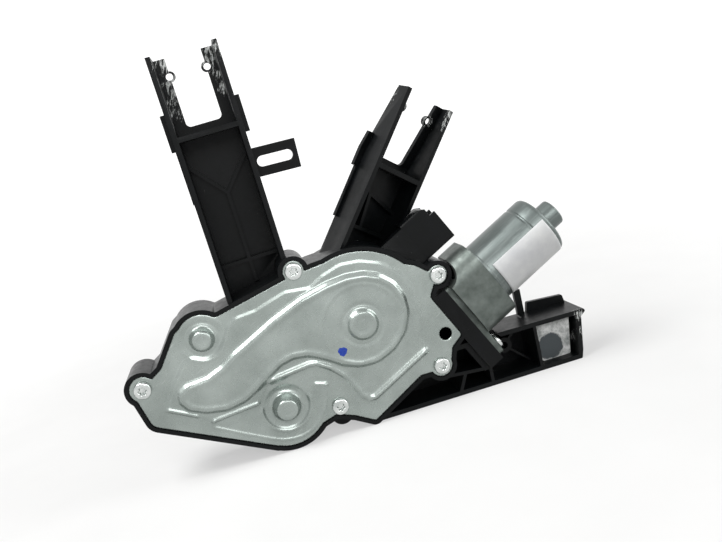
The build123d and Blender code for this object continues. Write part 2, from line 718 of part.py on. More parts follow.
def crank_pin():
    front = MOTOR_DEPTH - WHEEL_WIDTH / 2
    return disc(CRANK_PIN, CRANK_PIN_RADIUS, ROD_FRONT - 0.4, front + WHEEL_WIDTH - 1)


def connecting_rod():
    face = Pos(*CRANK_PIN) * Circle(ROD_EYE_RADIUS + 0.6)
    face += Pos(*LEVER_PIN) * Circle(ROD_EYE_RADIUS)
    face += strip(CRANK_PIN, LEVER_PIN, ROD_WIDTH)
    bar = deep(face, ROD_FRONT, ROD_FRONT + ROD_THICKNESS)
    span = math.hypot(CRANK_PIN[0] - LEVER_PIN[0], CRANK_PIN[1] - LEVER_PIN[1])
    middle = ((CRANK_PIN[0] + LEVER_PIN[0]) / 2, (CRANK_PIN[1] + LEVER_PIN[1]) / 2)
    slot = Pos(*middle) * Rot(0, 0, ROD_ANGLE) * SlotOverall(span - 24, ROD_WIDTH - 3.6)
    bar -= deep(slot, ROD_FRONT - 1, ROD_FRONT + 1.0)
    bar -= disc(CRANK_PIN, CRANK_PIN_RADIUS + RUNNING_CLEARANCE, 0, 9)
    bar -= disc(LEVER_PIN, CRANK_PIN_RADIUS + 0.3, 0, 9)
    return bar


def sector_lever():
    pitch = 360 / SECTOR_TEETH
    count = 10
    first = MESH_ANGLE - pitch * (count - 2)
    teeth = [
        (SECTOR[0] + x, SECTOR[1] + z)
        for x, z in tooth_points(SECTOR_TEETH, SECTOR_MODULE, BACKLASH, first, count)
    ]
    face = make_face(Polyline(SECTOR, *teeth, close=True))
    face += Pos(*SECTOR) * Circle(9.0)
    face += Pos(*LEVER_PIN) * Circle(6.0)
    face += strip(SECTOR, LEVER_PIN, 11.0)
    for radius, turn, hole in ((28.0, -62.0, 5.0), (28.0, -88.0, 5.0), (17.0, -76.0, 3.6)):
        face -= Pos(*polar(SECTOR, radius, turn)) * Circle(hole)
    body = deep(face, SECTOR_FRONT, SECTOR_FRONT + SECTOR_THICKNESS)
    body += disc(SECTOR, 9.0, SECTOR_FRONT - 0.6, HOUSING_DEPTH - FLOOR - SEAT_GAP)
    body -= disc(SECTOR, SHAFT_RADIUS + RUNNING_CLEARANCE, 0, HOUSING_DEPTH)
    body -= disc(LEVER_PIN, CRANK_PIN_RADIUS + SEAT_CLEARANCE, 0, HOUSING_DEPTH)
    return body


def lever_pin():
    top = ROD_FRONT + ROD_THICKNESS + SEAT_GAP
    return disc(LEVER_PIN, CRANK_PIN_RADIUS, top, SECTOR_FRONT + SECTOR_THICKNESS)


def output_gear():
    pitch = 360 / OUTPUT_TEETH
    points = tooth_points(OUTPUT_TEETH, SECTOR_MODULE, BACKLASH, MESH_ANGLE + 180 + pitch / 2)
    body = deep(make_face(Polyline(*points, close=True)), SECTOR_FRONT - 0.6,
                SECTOR_FRONT + SECTOR_THICKNESS + 0.6)
    body += disc(OUTPUT, 9.0, SECTOR_FRONT - 0.6, HOUSING_DEPTH - FLOOR - SEAT_GAP)
    return body - disc(OUTPUT, OUTPUT_SHAFT_RADIUS + SEAT_CLEARANCE, 0, HOUSING_DEPTH)


def output_shaft():
    """Journal in the cover, gear seat, bearing length, knurled cone and thread."""
    nose = HOUSING_DEPTH + NOSE_LENGTH
    shaft = disc(OUTPUT, COVER_JOURNAL, -OUTPUT_JOURNAL, 1.0)
    shaft += disc(OUTPUT, OUTPUT_SHAFT_RADIUS, 1.0, nose + 6.0)
    cone_plane = Plane(origin=(0, 6.0, 0), x_dir=(1, 0, 0), z_dir=(0, 1, 0))
    top_plane = Plane(origin=(0, 14.0, 0), x_dir=(1, 0, 0), z_dir=(0, 1, 0))
    shaft += loft([cone_plane * Circle(OUTPUT_SHAFT_RADIUS), top_plane * Circle(4.0)])
    shaft += disc(OUTPUT, 4.0, nose + 14.0, nose + OUTPUT_LENGTH)
    shaft -= ring(OUTPUT, 9.0, OUTPUT_SHAFT_RADIUS - 0.7, nose + CLIP_START, nose + CLIP_START + 1)
    return shaft


def output_clip():
    nose = HOUSING_DEPTH + NOSE_LENGTH
    face = Circle(8.2) - Circle(OUTPUT_SHAFT_RADIUS - 0.68) - Pos(0, -6) * Rectangle(4, 9)
    return deep(face, nose + CLIP_START + 0.02, nose + CLIP_START + 0.98)


def output_bushes():
    nose = HOUSING_DEPTH + NOSE_LENGTH
    inner = OUTPUT_SHAFT_RADIUS + RUNNING_CLEARANCE
    outer = BUSH_RADIUS - SEAT_CLEARANCE
    lower = ring(OUTPUT, outer, inner, HOUSING_DEPTH - FLOOR, HOUSING_DEPTH + 5)
    return Compound([lower, ring(OUTPUT, outer, inner, nose - 8.0, nose - SEAL_LENGTH - 0.1)])


def shaft_seal():
    nose = HOUSING_DEPTH + NOSE_LENGTH
    return ring(OUTPUT, BUSH_RADIUS - SEAT_CLEARANCE, OUTPUT_SHAFT_RADIUS + RUNNING_CLEARANCE,
                nose - SEAL_LENGTH, nose)


def sector_shaft():
    journal = disc(SECTOR, COVER_JOURNAL, -SECTOR_JOURNAL, 1.0)
    return journal + disc(SECTOR, SHAFT_RADIUS, 1.0, HOUSING_DEPTH + PIN_BOSS - 1.5)


def wheel_axle():
    top = MOTOR_DEPTH - WHEEL_WIDTH / 2 - 1.6
    axle = disc(WHEEL, WHEEL_AXLE_RADIUS, top, HOUSING_DEPTH + PIN_BOSS - 1.5)
    return axle - ring(WHEEL, 9.0, WHEEL_AXLE_RADIUS - 0.6, top + 0.5, top + 1.3)


def wheel_clip():
    top = MOTOR_DEPTH - WHEEL_WIDTH / 2 - 1.6
    face = Circle(6.6) - Circle(WHEEL_AXLE_RADIUS - 0.58) - Pos(0, -5) * Rectangle(3, 8)
    return deep(Pos(*WHEEL) * face, top + 0.52, top + 1.28)


# ---- motor ----
def worm_face():
    """The worm's cross-section: a flank rises and falls evenly with the angle round it."""
    root, tip = WORM_PITCH_RADIUS - 1.2 * WORM_MODULE, WORM_PITCH_RADIUS + WORM_MODULE
    pitch = math.pi * WORM_MODULE
    slope = math.tan(math.radians(20))
    half_pitch_line = pitch / 4 - BACKLASH / 2
    half_root = half_pitch_line + (WORM_PITCH_RADIUS - root) * slope
    half_tip = half_pitch_line - (tip - WORM_PITCH_RADIUS) * slope
    root_turn, tip_turn = 360 * half_root / pitch, 360 * half_tip / pitch
    rise = [
        polar((0, 0), root + (tip - root) * k / 4, root_turn - (root_turn - tip_turn) * k / 4)
        for k in range(5)
    ]
    fall = [(x, -y) for x, y in reversed(rise)]
    edges = [
        Spline(rise),
        ThreePointArc(rise[-1], (tip, 0), fall[0]),
        Spline(fall),
        ThreePointArc(fall[-1], (-root, 0), rise[0]),
    ]
    return make_face(Wire(edges))


def armature_shaft():
    shaft = motor_disc(ARMATURE_SHAFT_RADIUS, THRUST_END, WORM_LENGTH / -2)
    can_end = CAN_START + CAN_LENGTH + CUP_LENGTH - CAN_WALL
    shaft += motor_disc(ARMATURE_SHAFT_RADIUS, WORM_LENGTH / 2, can_end - 0.5)
    pitch = math.pi * WORM_MODULE
    turns = WORM_LENGTH / pitch
    start = -WORM_LENGTH / 2
    phase = 180 + 360 * start / pitch
    face = motor_plane(start) * (Rot(0, 0, phase) * worm_face())
    base = motor_plane(start)
    normal = base.z_dir * WORM_LENGTH
    worm = Solid.extrude_linear_with_rotation(face.face(), base.origin, normal, 360 * turns)
    return shaft + worm


def armature_core():
    face = Circle(ARMATURE_RADIUS)
    for k in range(ARMATURE_SLOTS):
        turn = 360 * k / ARMATURE_SLOTS
        slot = Pos(9.2, 0) * Circle(2.4) + Pos(12.0, 0) * Rectangle(3.0, 1.6)
        face -= Rot(0, 0, turn) * slot
    core = on_motor(face, CORE_START, CORE_START + CORE_LENGTH)
    return core - motor_disc(ARMATURE_SHAFT_RADIUS + SEAT_CLEARANCE, 0, 130)


def armature_windings():
    """Copper heads at both ends of the core, and the wire that fills its slots."""
    end = CORE_START + CORE_LENGTH
    heads = [motor_ring(11.8, 5.4, CORE_START - 3.6, CORE_START - 0.1),
             motor_ring(11.8, 5.4, end + 0.1, end + 3.6)]
    body = heads[0] + heads[1]
    for k in range(ARMATURE_SLOTS):
        turn = Rot(0, 0, 360 * k / ARMATURE_SLOTS)
        body += on_motor(turn * Pos(9.2, 0) * Circle(2.1), CORE_START - 0.2, end + 0.2)
    return body


def commutator():
    face = Circle(COMMUTATOR_RADIUS)
    for k in range(ARMATURE_SLOTS):
        face -= Rot(0, 0, 360 * k / ARMATURE_SLOTS) * Pos(COMMUTATOR_RADIUS, 0) * Rectangle(2, 0.6)
    body = on_motor(face, COMMUTATOR_START, COMMUTATOR_START + 10.0)
    body += motor_disc(COMMUTATOR_RADIUS + 0.6, COMMUTATOR_START + 10.0, CORE_START - 3.7)
    return body - motor_disc(ARMATURE_SHAFT_RADIUS + SEAT_CLEARANCE, 0, 130)


def motor_profile(points):
    """A ring of the motor turned from (along, radius) points."""
    plane = Plane(origin=motor_plane(0).origin, x_dir=motor_plane(0).z_dir, z_dir=(0, 1, 0))
    face = plane * make_face(Polyline(*points, close=True))
    return revolve(face, Axis(plane.origin, plane.x_dir), 360)


def motor_can():
    end = CAN_START + CAN_LENGTH
    cup_end = end + CUP_LENGTH
    wall = CAN_WALL
    inner = CAN_RADIUS - wall
    return motor_profile([
        (CAN_START, inner), (CAN_START, CAN_RADIUS), (end - 3.0, CAN_RADIUS),
        (end - 0.9, CAN_RADIUS - 0.9), (end, CAN_RADIUS - 3.0), (end + 0.8, CUP_RADIUS + 0.8),
        (end + 1.4, CUP_RADIUS), (cup_end - 1.6, CUP_RADIUS), (cup_end - 0.5, CUP_RADIUS - 0.5),
        (cup_end, CUP_RADIUS - 1.6), (cup_end, 0), (cup_end - wall, 0),
        (cup_end - wall, CUP_RADIUS - wall), (end - 0.4, CUP_RADIUS - wall),
        (end - wall, CAN_RADIUS - 3.6), (end - 3.2, inner),
    ])


def magnets():
    arcs = []
    outer = CAN_RADIUS - CAN_WALL - 0.05
    for middle in (0, 180):
        face = Circle(outer) - Circle(ARMATURE_RADIUS + MAGNET_GAP)
        far = 30.0
        half = math.radians(65)
        wedge = make_face(Polyline(
            (0, 0),
            (far * math.cos(half), -far * math.sin(half)),
            (far, 0),
            (far * math.cos(half), far * math.sin(half)),
            close=True,
        ))
        arcs.append(on_motor(Rot(0, 0, middle) * (face & wedge), CORE_START - 3, CORE_START + 29))
    return Compound(arcs)


def flange_outline(grow=0.0):
    """The adaptor's flange, longer towards its two screws."""
    shape = RectangleRounded(FLANGE_LENGTH + 2 * grow, FLANGE_DEPTH + 2 * grow, 3.0)
    return Pos(FLANGE_SHIFT, 0) * shape


def motor_adaptor():
    """The cast housing between can and gearbox, with its flange, bearing seat and spigot."""
    start = FLANGE_START + FLANGE_THICKNESS
    shell = RectangleRounded(ADAPTOR_WIDTH, ADAPTOR_DEPTH, 13.0)
    body = on_motor(shell, start - 0.1, CAN_START)
    hollow = on_motor(RectangleRounded(ADAPTOR_WIDTH - 5, ADAPTOR_DEPTH - 4, 12.0),
                      start + 4.0, CAN_START - 1.2)
    body -= hollow
    lip = CAN_RADIUS - CAN_WALL
    body -= motor_disc(lip - ADAPTOR_LIP, start + 6, CAN_START + 1)
    body += motor_ring(lip - SEAT_CLEARANCE, lip - ADAPTOR_LIP, CAN_START - 1.2,
                       CAN_START + 2.4)
    body += on_motor(flange_outline(), FLANGE_START, start)
    body -= disc(COVER_SCREWS[2], SCALLOP_RADIUS, -30, 60)
    body += motor_disc(SPIGOT_RADIUS, SPIGOT_START, start)
    body += motor_disc(9.5, start, start + 7.0)
    body -= motor_disc(BEARING_RADIUS, SPIGOT_START - 1, start + 3.0)
    body -= motor_disc(ARMATURE_SHAFT_RADIUS + 0.6, SPIGOT_START - 1, start + 9)
    for depth in ADAPTOR_SCREW_DEPTHS:
        body -= on_motor(Pos(ADAPTOR_SCREW_ACROSS, depth) * Circle(SCREW_RADIUS + 0.3),
                         FLANGE_START - 1, start + 1)
    return body


def adaptor_screws():
    screws = []
    for depth in ADAPTOR_SCREW_DEPTHS:
        seat = motor_plane(FLANGE_START + FLANGE_THICKNESS)
        origin = seat.from_local_coords(Vector(ADAPTOR_SCREW_ACROSS, depth, 0))
        screws.append(screw(Plane(origin, seat.x_dir, seat.z_dir), SCREW_HEAD_HEIGHT,
                            SCREW_LENGTH))
    return Compound(screws)


def adaptor_bearing():
    return motor_ring(BEARING_RADIUS - SEAT_CLEARANCE,
                      ARMATURE_SHAFT_RADIUS + RUNNING_CLEARANCE,
                      SPIGOT_START + 0.5, FLANGE_START + FLANGE_THICKNESS + 2.9)


def can_bearing():
    end = CAN_START + CAN_LENGTH
    return motor_ring(CUP_RADIUS - CAN_WALL - SEAT_CLEARANCE,
                      ARMATURE_SHAFT_RADIUS + RUNNING_CLEARANCE, end + 1.0, end + 7.5)


def thrust_pad():
    return motor_disc(ARMATURE_SHAFT_RADIUS - 0.1, THRUST_END - 1.0, THRUST_END - 0.05)


def brush_card():
    seat = CAN_RADIUS - CAN_WALL - ADAPTOR_LIP - SEAT_CLEARANCE
    return motor_ring(seat, COMMUTATOR_RADIUS + 1.0, CARD_START, CARD_START + 2.0)


def brush_holders():
    inside = COMMUTATOR_RADIUS + 1.2
    outside = BRUSH_TAIL + SPRING_LENGTH + HOLDER_WALL
    holders = []
    for side in (1, -1):
        middle = side * (inside + outside) / 2
        outer = Pos(middle, 0) * Rectangle(outside - inside, BRUSH_WIDTH + 2 * HOLDER_WALL)
        guide = Pos(middle - side * HOLDER_WALL, 0) * Rectangle(outside - inside, BRUSH_WIDTH + 0.2)
        body = on_motor(outer, CARD_START - 6.4, CARD_START - 0.02)
        body -= on_motor(guide, CARD_START - 5.6, CARD_START - 0.8)
        holders.append(body)
    return Compound(holders)


def brushes():
    blocks = []
    for side in (1, -1):
        middle = side * (BRUSH_TAIL - BRUSH_LENGTH / 2)
        block = on_motor(Pos(middle, 0) * Rectangle(BRUSH_LENGTH, BRUSH_WIDTH),
                         CARD_START - 5.5, CARD_START - 0.9)
        block -= motor_disc(COMMUTATOR_RADIUS + 0.1, CARD_START - 8, CARD_START + 1)
        blocks.append(block)
    return Compound(blocks)


def brush_springs():
    """A coil behind each brush, pressing it to the commutator."""
    wire_radius = 0.25
    coil = Helix(pitch=1.1, height=SPRING_LENGTH - 2 * wire_radius - 0.06, radius=1.4)
    section = Plane(coil @ 0, z_dir=coil % 0) * Circle(wire_radius)
    wire = sweep(section, path=coil, is_frenet=True)
    middle = motor_plane(CARD_START - 3.2)
    springs = []
    for side in (1, -1):
        start = BRUSH_TAIL + wire_radius + 0.03
        place = Plane(middle.from_local_coords(Vector(side * start, 0, 0)),
                      x_dir=middle.y_dir, z_dir=middle.x_dir * side)
        springs.append(place.location * wire)
    return Compound(springs)


def can_label():
    """A bare sheet on the can's front."""
    face = Circle(CAN_RADIUS + 0.25) - Circle(CAN_RADIUS + 0.02)
    far = 40.0
    corners = [polar((0, 0), far, turn) for turn in (-96, -60, -25, 8)]
    window = make_face(Polyline((0, 0), *corners, close=True))
    return on_motor(face & window, CAN_START + 3.0, CAN_START + 36.0)


# ---- connector ----
def connector_socket():
    place = Pos(CONNECTOR_ACROSS, 0)
    outer = place * RectangleRounded(CONNECTOR_WIDTH, CONNECTOR_DEPTH, 1.0)
    inner = place * RectangleRounded(CONNECTOR_WIDTH - 2 * CONNECTOR_WALL,
                                     CONNECTOR_DEPTH - 2 * CONNECTOR_WALL, 0.5)
    body = on_motor(outer, CONNECTOR_START, CONNECTOR_END)
    body -= on_motor(inner, CONNECTOR_START + 2.0, CONNECTOR_END + 1)
    far_side = CONNECTOR_ACROSS - CONNECTOR_WIDTH / 2
    stepped = make_face(Polyline(
        (CONNECTOR_END - 8.0, far_side - 1), (CONNECTOR_END - 3.4, far_side + 2.0),
        (CONNECTOR_END - 3.4, far_side + 6.2), (CONNECTOR_END + 1, far_side + 6.2),
        (CONNECTOR_END + 1, far_side - 1), close=True,
    ))
    top = Plane(
        origin=(WORM_CENTRE[0], JOINT_Y + MOTOR_DEPTH - CONNECTOR_DEPTH, WORM_CENTRE[1]),
        x_dir=(ALONG[0], 0, ALONG[1]),
        z_dir=(0, 1, 0),
    )
    body -= extrude(top * stepped, amount=2 * CONNECTOR_DEPTH)
    for across in terminal_places():
        body -= on_motor(Pos(across, 0) * Rectangle(0.9, 2.9), CONNECTOR_START - 1,
                         CONNECTOR_START + 3)
    return body


def terminal_places():
    pitch = 3.2
    return [CONNECTOR_ACROSS + pitch * (k - (TERMINALS - 1) / 2) for k in range(TERMINALS)]


def connector_terminals():
    blades = [on_motor(Pos(across, 0) * Rectangle(0.8, 2.8), CONNECTOR_START + 0.02,
                       CONNECTOR_END - 5.0) for across in terminal_places()]
    return Compound(blades)


def fork_insert():
    """The worn damping block left in the lower fork."""
    half = ARM_WALL + 0.05
    face = outline([
        (LOWER_NOTCH_START, LOWER_ARM_BOTTOM + half, 1.0),
        (LOWER_NOTCH_END - 2.0, LOWER_ARM_BOTTOM + half, 1.0),
        (LOWER_NOTCH_END + 1.0, LOWER_ARM_TOP - half, 1.0),
        (LOWER_NOTCH_START, LOWER_ARM_TOP - half + 0.3, 1.0),
    ])
    return deep(face, ARM_FRONT + 6.0, HOUSING_DEPTH - FLOOR - 0.02)


NODES = {
    "gear_housing": gear_housing,
    "housing_gasket": housing_gasket,
    "cover_plate": cover_plate,
    "cover_screws": cover_screws,
    "worm_wheel": worm_wheel,
    "wheel_axle": wheel_axle,
    "wheel_clip": wheel_clip,
    "crank_pin": crank_pin,
    "connecting_rod": connecting_rod,
    "sector_lever": sector_lever,
    "lever_pin": lever_pin,
    "sector_shaft": sector_shaft,
    "output_gear": output_gear,
    "output_shaft": output_shaft,
    "output_clip": output_clip,
    "output_bushes": output_bushes,
    "shaft_seal": shaft_seal,
    "motor_adaptor": motor_adaptor,
    "adaptor_screws": adaptor_screws,
    "adaptor_bearing": adaptor_bearing,
    "motor_can": motor_can,
    "can_bearing": can_bearing,
    "can_label": can_label,
    "magnets": magnets,
    "armature_shaft": armature_shaft,
    "armature_core": armature_core,
    "armature_windings": armature_windings,
    "commutator": commutator,
    "thrust_pad": thrust_pad,
    "brush_card": brush_card,
    "brush_holders": brush_holders,
    "brushes": brushes,
    "brush_springs": brush_springs,
    "connector_socket": connector_socket,
    "connector_terminals": connector_terminals,
    "fork_insert": fork_insert,
}

for node, make in NODES.items():
    write(node, make())
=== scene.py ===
"""Rear window wiper motor: visible surfaces, finishes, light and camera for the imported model."""
import math

import bmesh
import bpy
import numpy as np
from mathutils import Matrix, Vector


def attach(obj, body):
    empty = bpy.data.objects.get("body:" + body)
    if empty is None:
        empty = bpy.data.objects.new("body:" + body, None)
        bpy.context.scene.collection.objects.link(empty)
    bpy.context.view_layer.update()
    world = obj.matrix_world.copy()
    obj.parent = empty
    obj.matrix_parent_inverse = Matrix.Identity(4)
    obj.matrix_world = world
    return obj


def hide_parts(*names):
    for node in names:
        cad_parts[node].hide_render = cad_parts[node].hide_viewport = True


bl_info = {
    "name": "Wiper Motor Finish",
    "version": (1, 0, 0),
    "blender": (4, 5, 0),
    "location": "3D View > Sidebar > Wiper Motor",
    "description": "Pressed cover, screws, motor, finishes and studio for a rear wiper motor",
    "category": "Object",
}

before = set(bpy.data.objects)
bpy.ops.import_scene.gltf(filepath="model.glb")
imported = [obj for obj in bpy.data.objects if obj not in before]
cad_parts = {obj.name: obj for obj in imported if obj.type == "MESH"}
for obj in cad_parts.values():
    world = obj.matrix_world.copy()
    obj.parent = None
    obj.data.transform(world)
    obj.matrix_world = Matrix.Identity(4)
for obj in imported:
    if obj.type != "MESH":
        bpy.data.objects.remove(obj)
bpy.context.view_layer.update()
MM = 0.001

# Lengths below are in millimetres, and places are (x, z) or (x, y, z) in the frame.

# ---- places that come from the frame ----
JOINT_Y = -38.0  # joint between housing and cover
OUTPUT = (0.0, 0.0)
SECTOR = (-31.2, 46.5)
WHEEL = (48.5, 31.4)
COVER_SCREWS = [(-65.7, 29.8), (21.2, 67.1), (93.2, 44.9), (84.4, -3.2), (26.8, -8.3)]
LOCATING_HOLE = (90.4, 13.0)
LOCATING_HOLE_RADIUS = 3.4
FLOOR_LEVEL = -24.0
FLOOR_GAP = 0.2
MOTOR_TURN = math.radians(27.3)
MOTOR_Y = JOINT_Y + 11.0
WORM_OFFSET = 30.5
WORM_CENTRE = (WHEEL[0] + WORM_OFFSET * math.sin(MOTOR_TURN),
               WHEEL[1] - WORM_OFFSET * math.cos(MOTOR_TURN))
ALONG = np.array([math.cos(MOTOR_TURN), 0.0, math.sin(MOTOR_TURN)])
ACROSS = np.array([math.sin(MOTOR_TURN), 0.0, -math.cos(MOTOR_TURN)])
DEPTH = np.array([0.0, 1.0, 0.0])
FRONT = np.array([0.0, -1.0, 0.0])
ARC_POINTS = 9  # points on each rounded corner of an outline

# ---- cover ----
# Edge of the sheet: corners as (x, z, corner radius), and the rounds that widen it.
PLATE_CORNERS = [
    (-66.5, 9.8, 6), (-70.5, 26.5, 3), (-60.2, 34.0, 3), (-54.5, 37.6, 4), (-43.5, 53.0, 3),
    (-36.0, 57.6, 0), (-21.0, 55.6, 3), (13.5, 63.8, 2), (31.0, 66.6, 2), (49.0, 68.0, 0),
    (83.0, 53.0, 0), (90.0, 47.0, 0), (90.2, 40.0, 3), (86.9, 34.5, 3), (99.2, 10.0, 2.5),
    (92.6, 4.6, 3), (90.2, -3.0, 0), (80.0, -5.5, 0), (72.6, -5.4, 3), (43.2, -22.2, 2),
    (33.2, -16.2, 3), (24.0, -12.4, 3), (15.5, -15.0, 0), (-9.5, -19.7, 0),
]
PLATE_ROUNDS = [
    (OUTPUT, 21.7), (SECTOR, 12.6), (WHEEL, 37.6), *zip(COVER_SCREWS, (6.8, 5.6, 5.4, 6.2, 4.6)),
]
# Outline of the raised plateau that runs from the worm wheel to the sector.
PLATEAU_CORNERS = [
    (-50.1, 23.3, 3), (-45.4, 26.3, 5), (-34.1, 27.3, 10), (-26.1, 30.5, 12), (-18.7, 35.2, 14),
    (-10.9, 39.0, 14), (4.6, 46.8, 20), (20.9, 53.3, 20), (35.4, 56.7, 16), (46.0, 57.9, 14),
    (55.2, 57.0, 12), (63.6, 53.6, 12), (69.7, 48.1, 12), (73.3, 40.0, 12), (73.6, 30.6, 12),
    (69.7, 20.9, 12), (62.0, 13.6, 12), (52.0, 9.3, 12), (42.0, 9.4, 12), (33.5, 12.9, 14),
    (25.6, 18.4, 14), (17.5, 22.9, 10), (9.8, 23.9, 10), (2.5, 22.2, 10), (-4.4, 17.8, 14),
    (-11.3, 13.2, 14), (-19.1, 9.3, 12), (-28.6, 7.6, 12), (-39.2, 9.4, 12), (-47.0, 13.1, 5),
    (-50.5, 18.2, 4),
]
# Outline of the low field round the plateau.
FIELD_CORNERS = [
    (-57.7, 16.3, 1.5), (-51.2, 27.3, 8), (-43.4, 37.1, 3), (-38.6, 38.9, 2), (-31.8, 35.6, 7),
    (-25.8, 37.3, 7), (-21.5, 42.0, 7), (-18.1, 49.1, 4), (-12.8, 52.2, 6), (-2.5, 53.2, 10),
    (7.2, 56.1, 10), (14.5, 58.2, 5), (26.6, 56.9, 5), (34.5, 61.0, 8), (44.5, 64.2, 12),
    (54.7, 63.4, 14), (65.3, 59.3, 14), (74.0, 52.1, 14), (78.7, 41.9, 14), (80.0, 30.8, 14),
    (78.4, 20.4, 10), (76.7, 15.4, 3), (78.5, 9.3, 1.5), (76.3, 6.4, 1.5), (45.8, -9.6, 2.5),
    (40.0, -6.7, 4), (33.2, 6.5, 8), (20.4, 18.0, 6), (16.4, 18.1, 2), (-5.5, 15.4, 4),
    (-13.2, 5.8, 4), (-37.3, 3.6, 3), (-43.5, 8.2, 4),
]
FIELD_RISE, FIELD_SLOPE = 0.65, 2.4
PLATEAU_RISE, PLATEAU_SLOPE = 1.9, 3.0
RIM_RISE, RIM_INSET, RIM_WIDTH = 0.45, 2.3, 1.3  # bead inside the plateau's edge
# Pressed lines: points, height and half width.
PRESSED_LINES = [
    ([(77.9, 7.4), (45.8, -9.2), (42.6, -9.2), (39.4, -6.0), (33.2, 6.5), (27.0, 13.6),
      (20.4, 17.6), (16.4, 18.0), (-4.6, 15.6)], 1.4, 1.9),
    ([(-37.0, 3.8), (-13.6, 5.9)], 0.9, 1.3),
    ([(-57.4, 16.2), (-44.0, 8.8)], 0.9, 1.3),
    ([(-37.4, 3.6), (-38.0, 0.6), (-25.7, -6.7), (-11.8, -14.4), (-6.0, -17.0), (-1.1, -17.9),
      (4.0, -17.9), (8.5, -16.7), (12.6, -14.4), (15.9, -11.1), (18.8, -7.0), (20.8, -2.2),
      (22.6, 5.3)], 0.5, 0.9),
    ([(17.4, 6.9), (22.6, 5.3)], 0.8, 1.3),
]
LINE_FALL, LINE_REACH = 1.4, 1.8  # bell's steepness, half widths it spans
# Pressed rings: centre, radius, height, half width.
PRESSED_RINGS = [
    (WHEEL, 9.4, 0.14, 0.7), (WHEEL, 21.0, 0.16, 1.0), (SECTOR, 7.4, 0.16, 0.6),
    (SECTOR, 11.4, 0.14, 0.7),
]
# Sunk ring round the output cup, and the collar outside it that is open at its top.
MOAT_DEPTH, MOAT_INNER, MOAT_OUTER, MOAT_WALLS = 0.5, 7.0, 12.6, (2.0, 2.2)
COLLAR_RISE, COLLAR_RADIUS, COLLAR_WIDTH = 0.65, 13.0, 1.0
COLLAR_TOP, COLLAR_FADE = 4.5, 4.0
# Cups over the shaft ends: centre, radius, height.
CUPS = [(WHEEL, 8.0, 6.5), (SECTOR, 5.85, 6.3), (OUTPUT, 6.6, 8.1)]
CUP_GROOVE, CUP_GROOVE_OUT, CUP_GROOVE_WIDTH = 0.30, 2.4, 1.2
CUP_FOOT, CUP_SLOPE = 0.9, 2.6
CUP_DISH, CUP_DISH_INSET, CUP_DISH_SLOPE = 0.2, 3.0, 1.4
SEAT_RADIUS, SEAT_SLOPE = 6.6, 1.6  # flat seats under the screw heads
EDGE_ROLL, EDGE_ROLL_WIDTH = 0.2, 0.8  # sheared edge, rolled back
COVER_SPAN = (-74.0, 101.0, -23.5, 74.5)  # x and z that the grid covers
EDGE_TRIM = 0.2  # share of a grid step kept clear of the edge
EDGE_PASSES = 3  # steps of a border point
EDGE_PROBE = 0.05  # half the span of a slope
LEAST_SLOPE = 0.2  # least squared slope, keeps a step short
WALL_SHARE = 0.75  # wall drawn behind the pressed face

# ---- screws ----
RECESS_RADIUS, RECESS_LOBE, RECESS_DEPTH, RECESS_WALL = 1.95, 0.36, 2.1, 0.3
RECESS_LOBES = 6
RECESS_BAND, CROWN_START = (0.0, 2.5), 2.6  # radii of the grid's two bands
HEAD_CROWN, HEAD_ROUND, HEAD_DROP, RIM_SHARE = 0.10, 1.1, 1.0, 0.999
COVER_SEAT = 1.4  # heads stand this far before the joint
SCREW_TURN = 0.7  # each recess is turned on by this
SHANK_RADIUS, SHANK_LENGTH = 1.9, 12.0
SHANK_PITCH, SHANK_THREAD, SHANK_CORE = 1.4, 0.12, 0.14
FLANGE_FACE, FLANGE_ACROSS, FLANGE_DEPTHS = 46.6, 31.0, (-5.6, 5.6)

# ---- motor ----
CAN_START, CAN_END, CAN_RADIUS = 66.6, 108.6, 17.8
TUBE_RADIUS = CAN_RADIUS - 0.35  # drawn tube beyond the can's collar
CRIMP_RADIUS = CAN_RADIUS - 0.75
CUP_RADIUS, CUP_END = 7.6, 118.3
CAN_WALL = 1.2
CASTING_ROUND, SOCKET_ROUND = 0.9, 0.25  # rounding of the edges
LABEL_INSETS = (4.0, 2.6)  # from the can's start and end
LABEL_ANGLES = (-113.0, -33.0)  # degrees round the can
LABEL_GAP, LABEL_CROWN, LABEL_EDGE, LABEL_FILM = 0.02, 0.10, 1.0, 0.12

# ---- output shaft, with places along y ----
SHAFT_START, SHAFT_STEP, SHAFT_END = -44.6, -37.1, 24.0
SHAFT_RADIUS, SHAFT_FOOT_RADIUS = 5.0, 4.4
CLIP_GROOVE, CLIP_GROOVE_RADIUS = (0.4, 1.4), 4.3
CONE_START, CONE_END, CONE_FALL = 6.0, 14.0, 8.0  # the cone narrows by 1 in CONE_FALL
FLUTES, FLUTE_DEPTH, FLUTE_RUN_OUT = 40, 0.28, 0.4
SHAFT_PITCH, SHAFT_THREAD = 1.25, 0.30
SHAFT_CHAMFER = 0.6

# ---- paint mark on the cover ----
PAINT_PLACE, PAINT_RADIUS = (34.9, 20.4), 2.45
PAINT_WAVES = [(0.22, 3, 0.4), (0.12, 7, 0.0)]  # height, count and start of each wave
PAINT_CROWN, PAINT_SINK = 0.16, 0.02

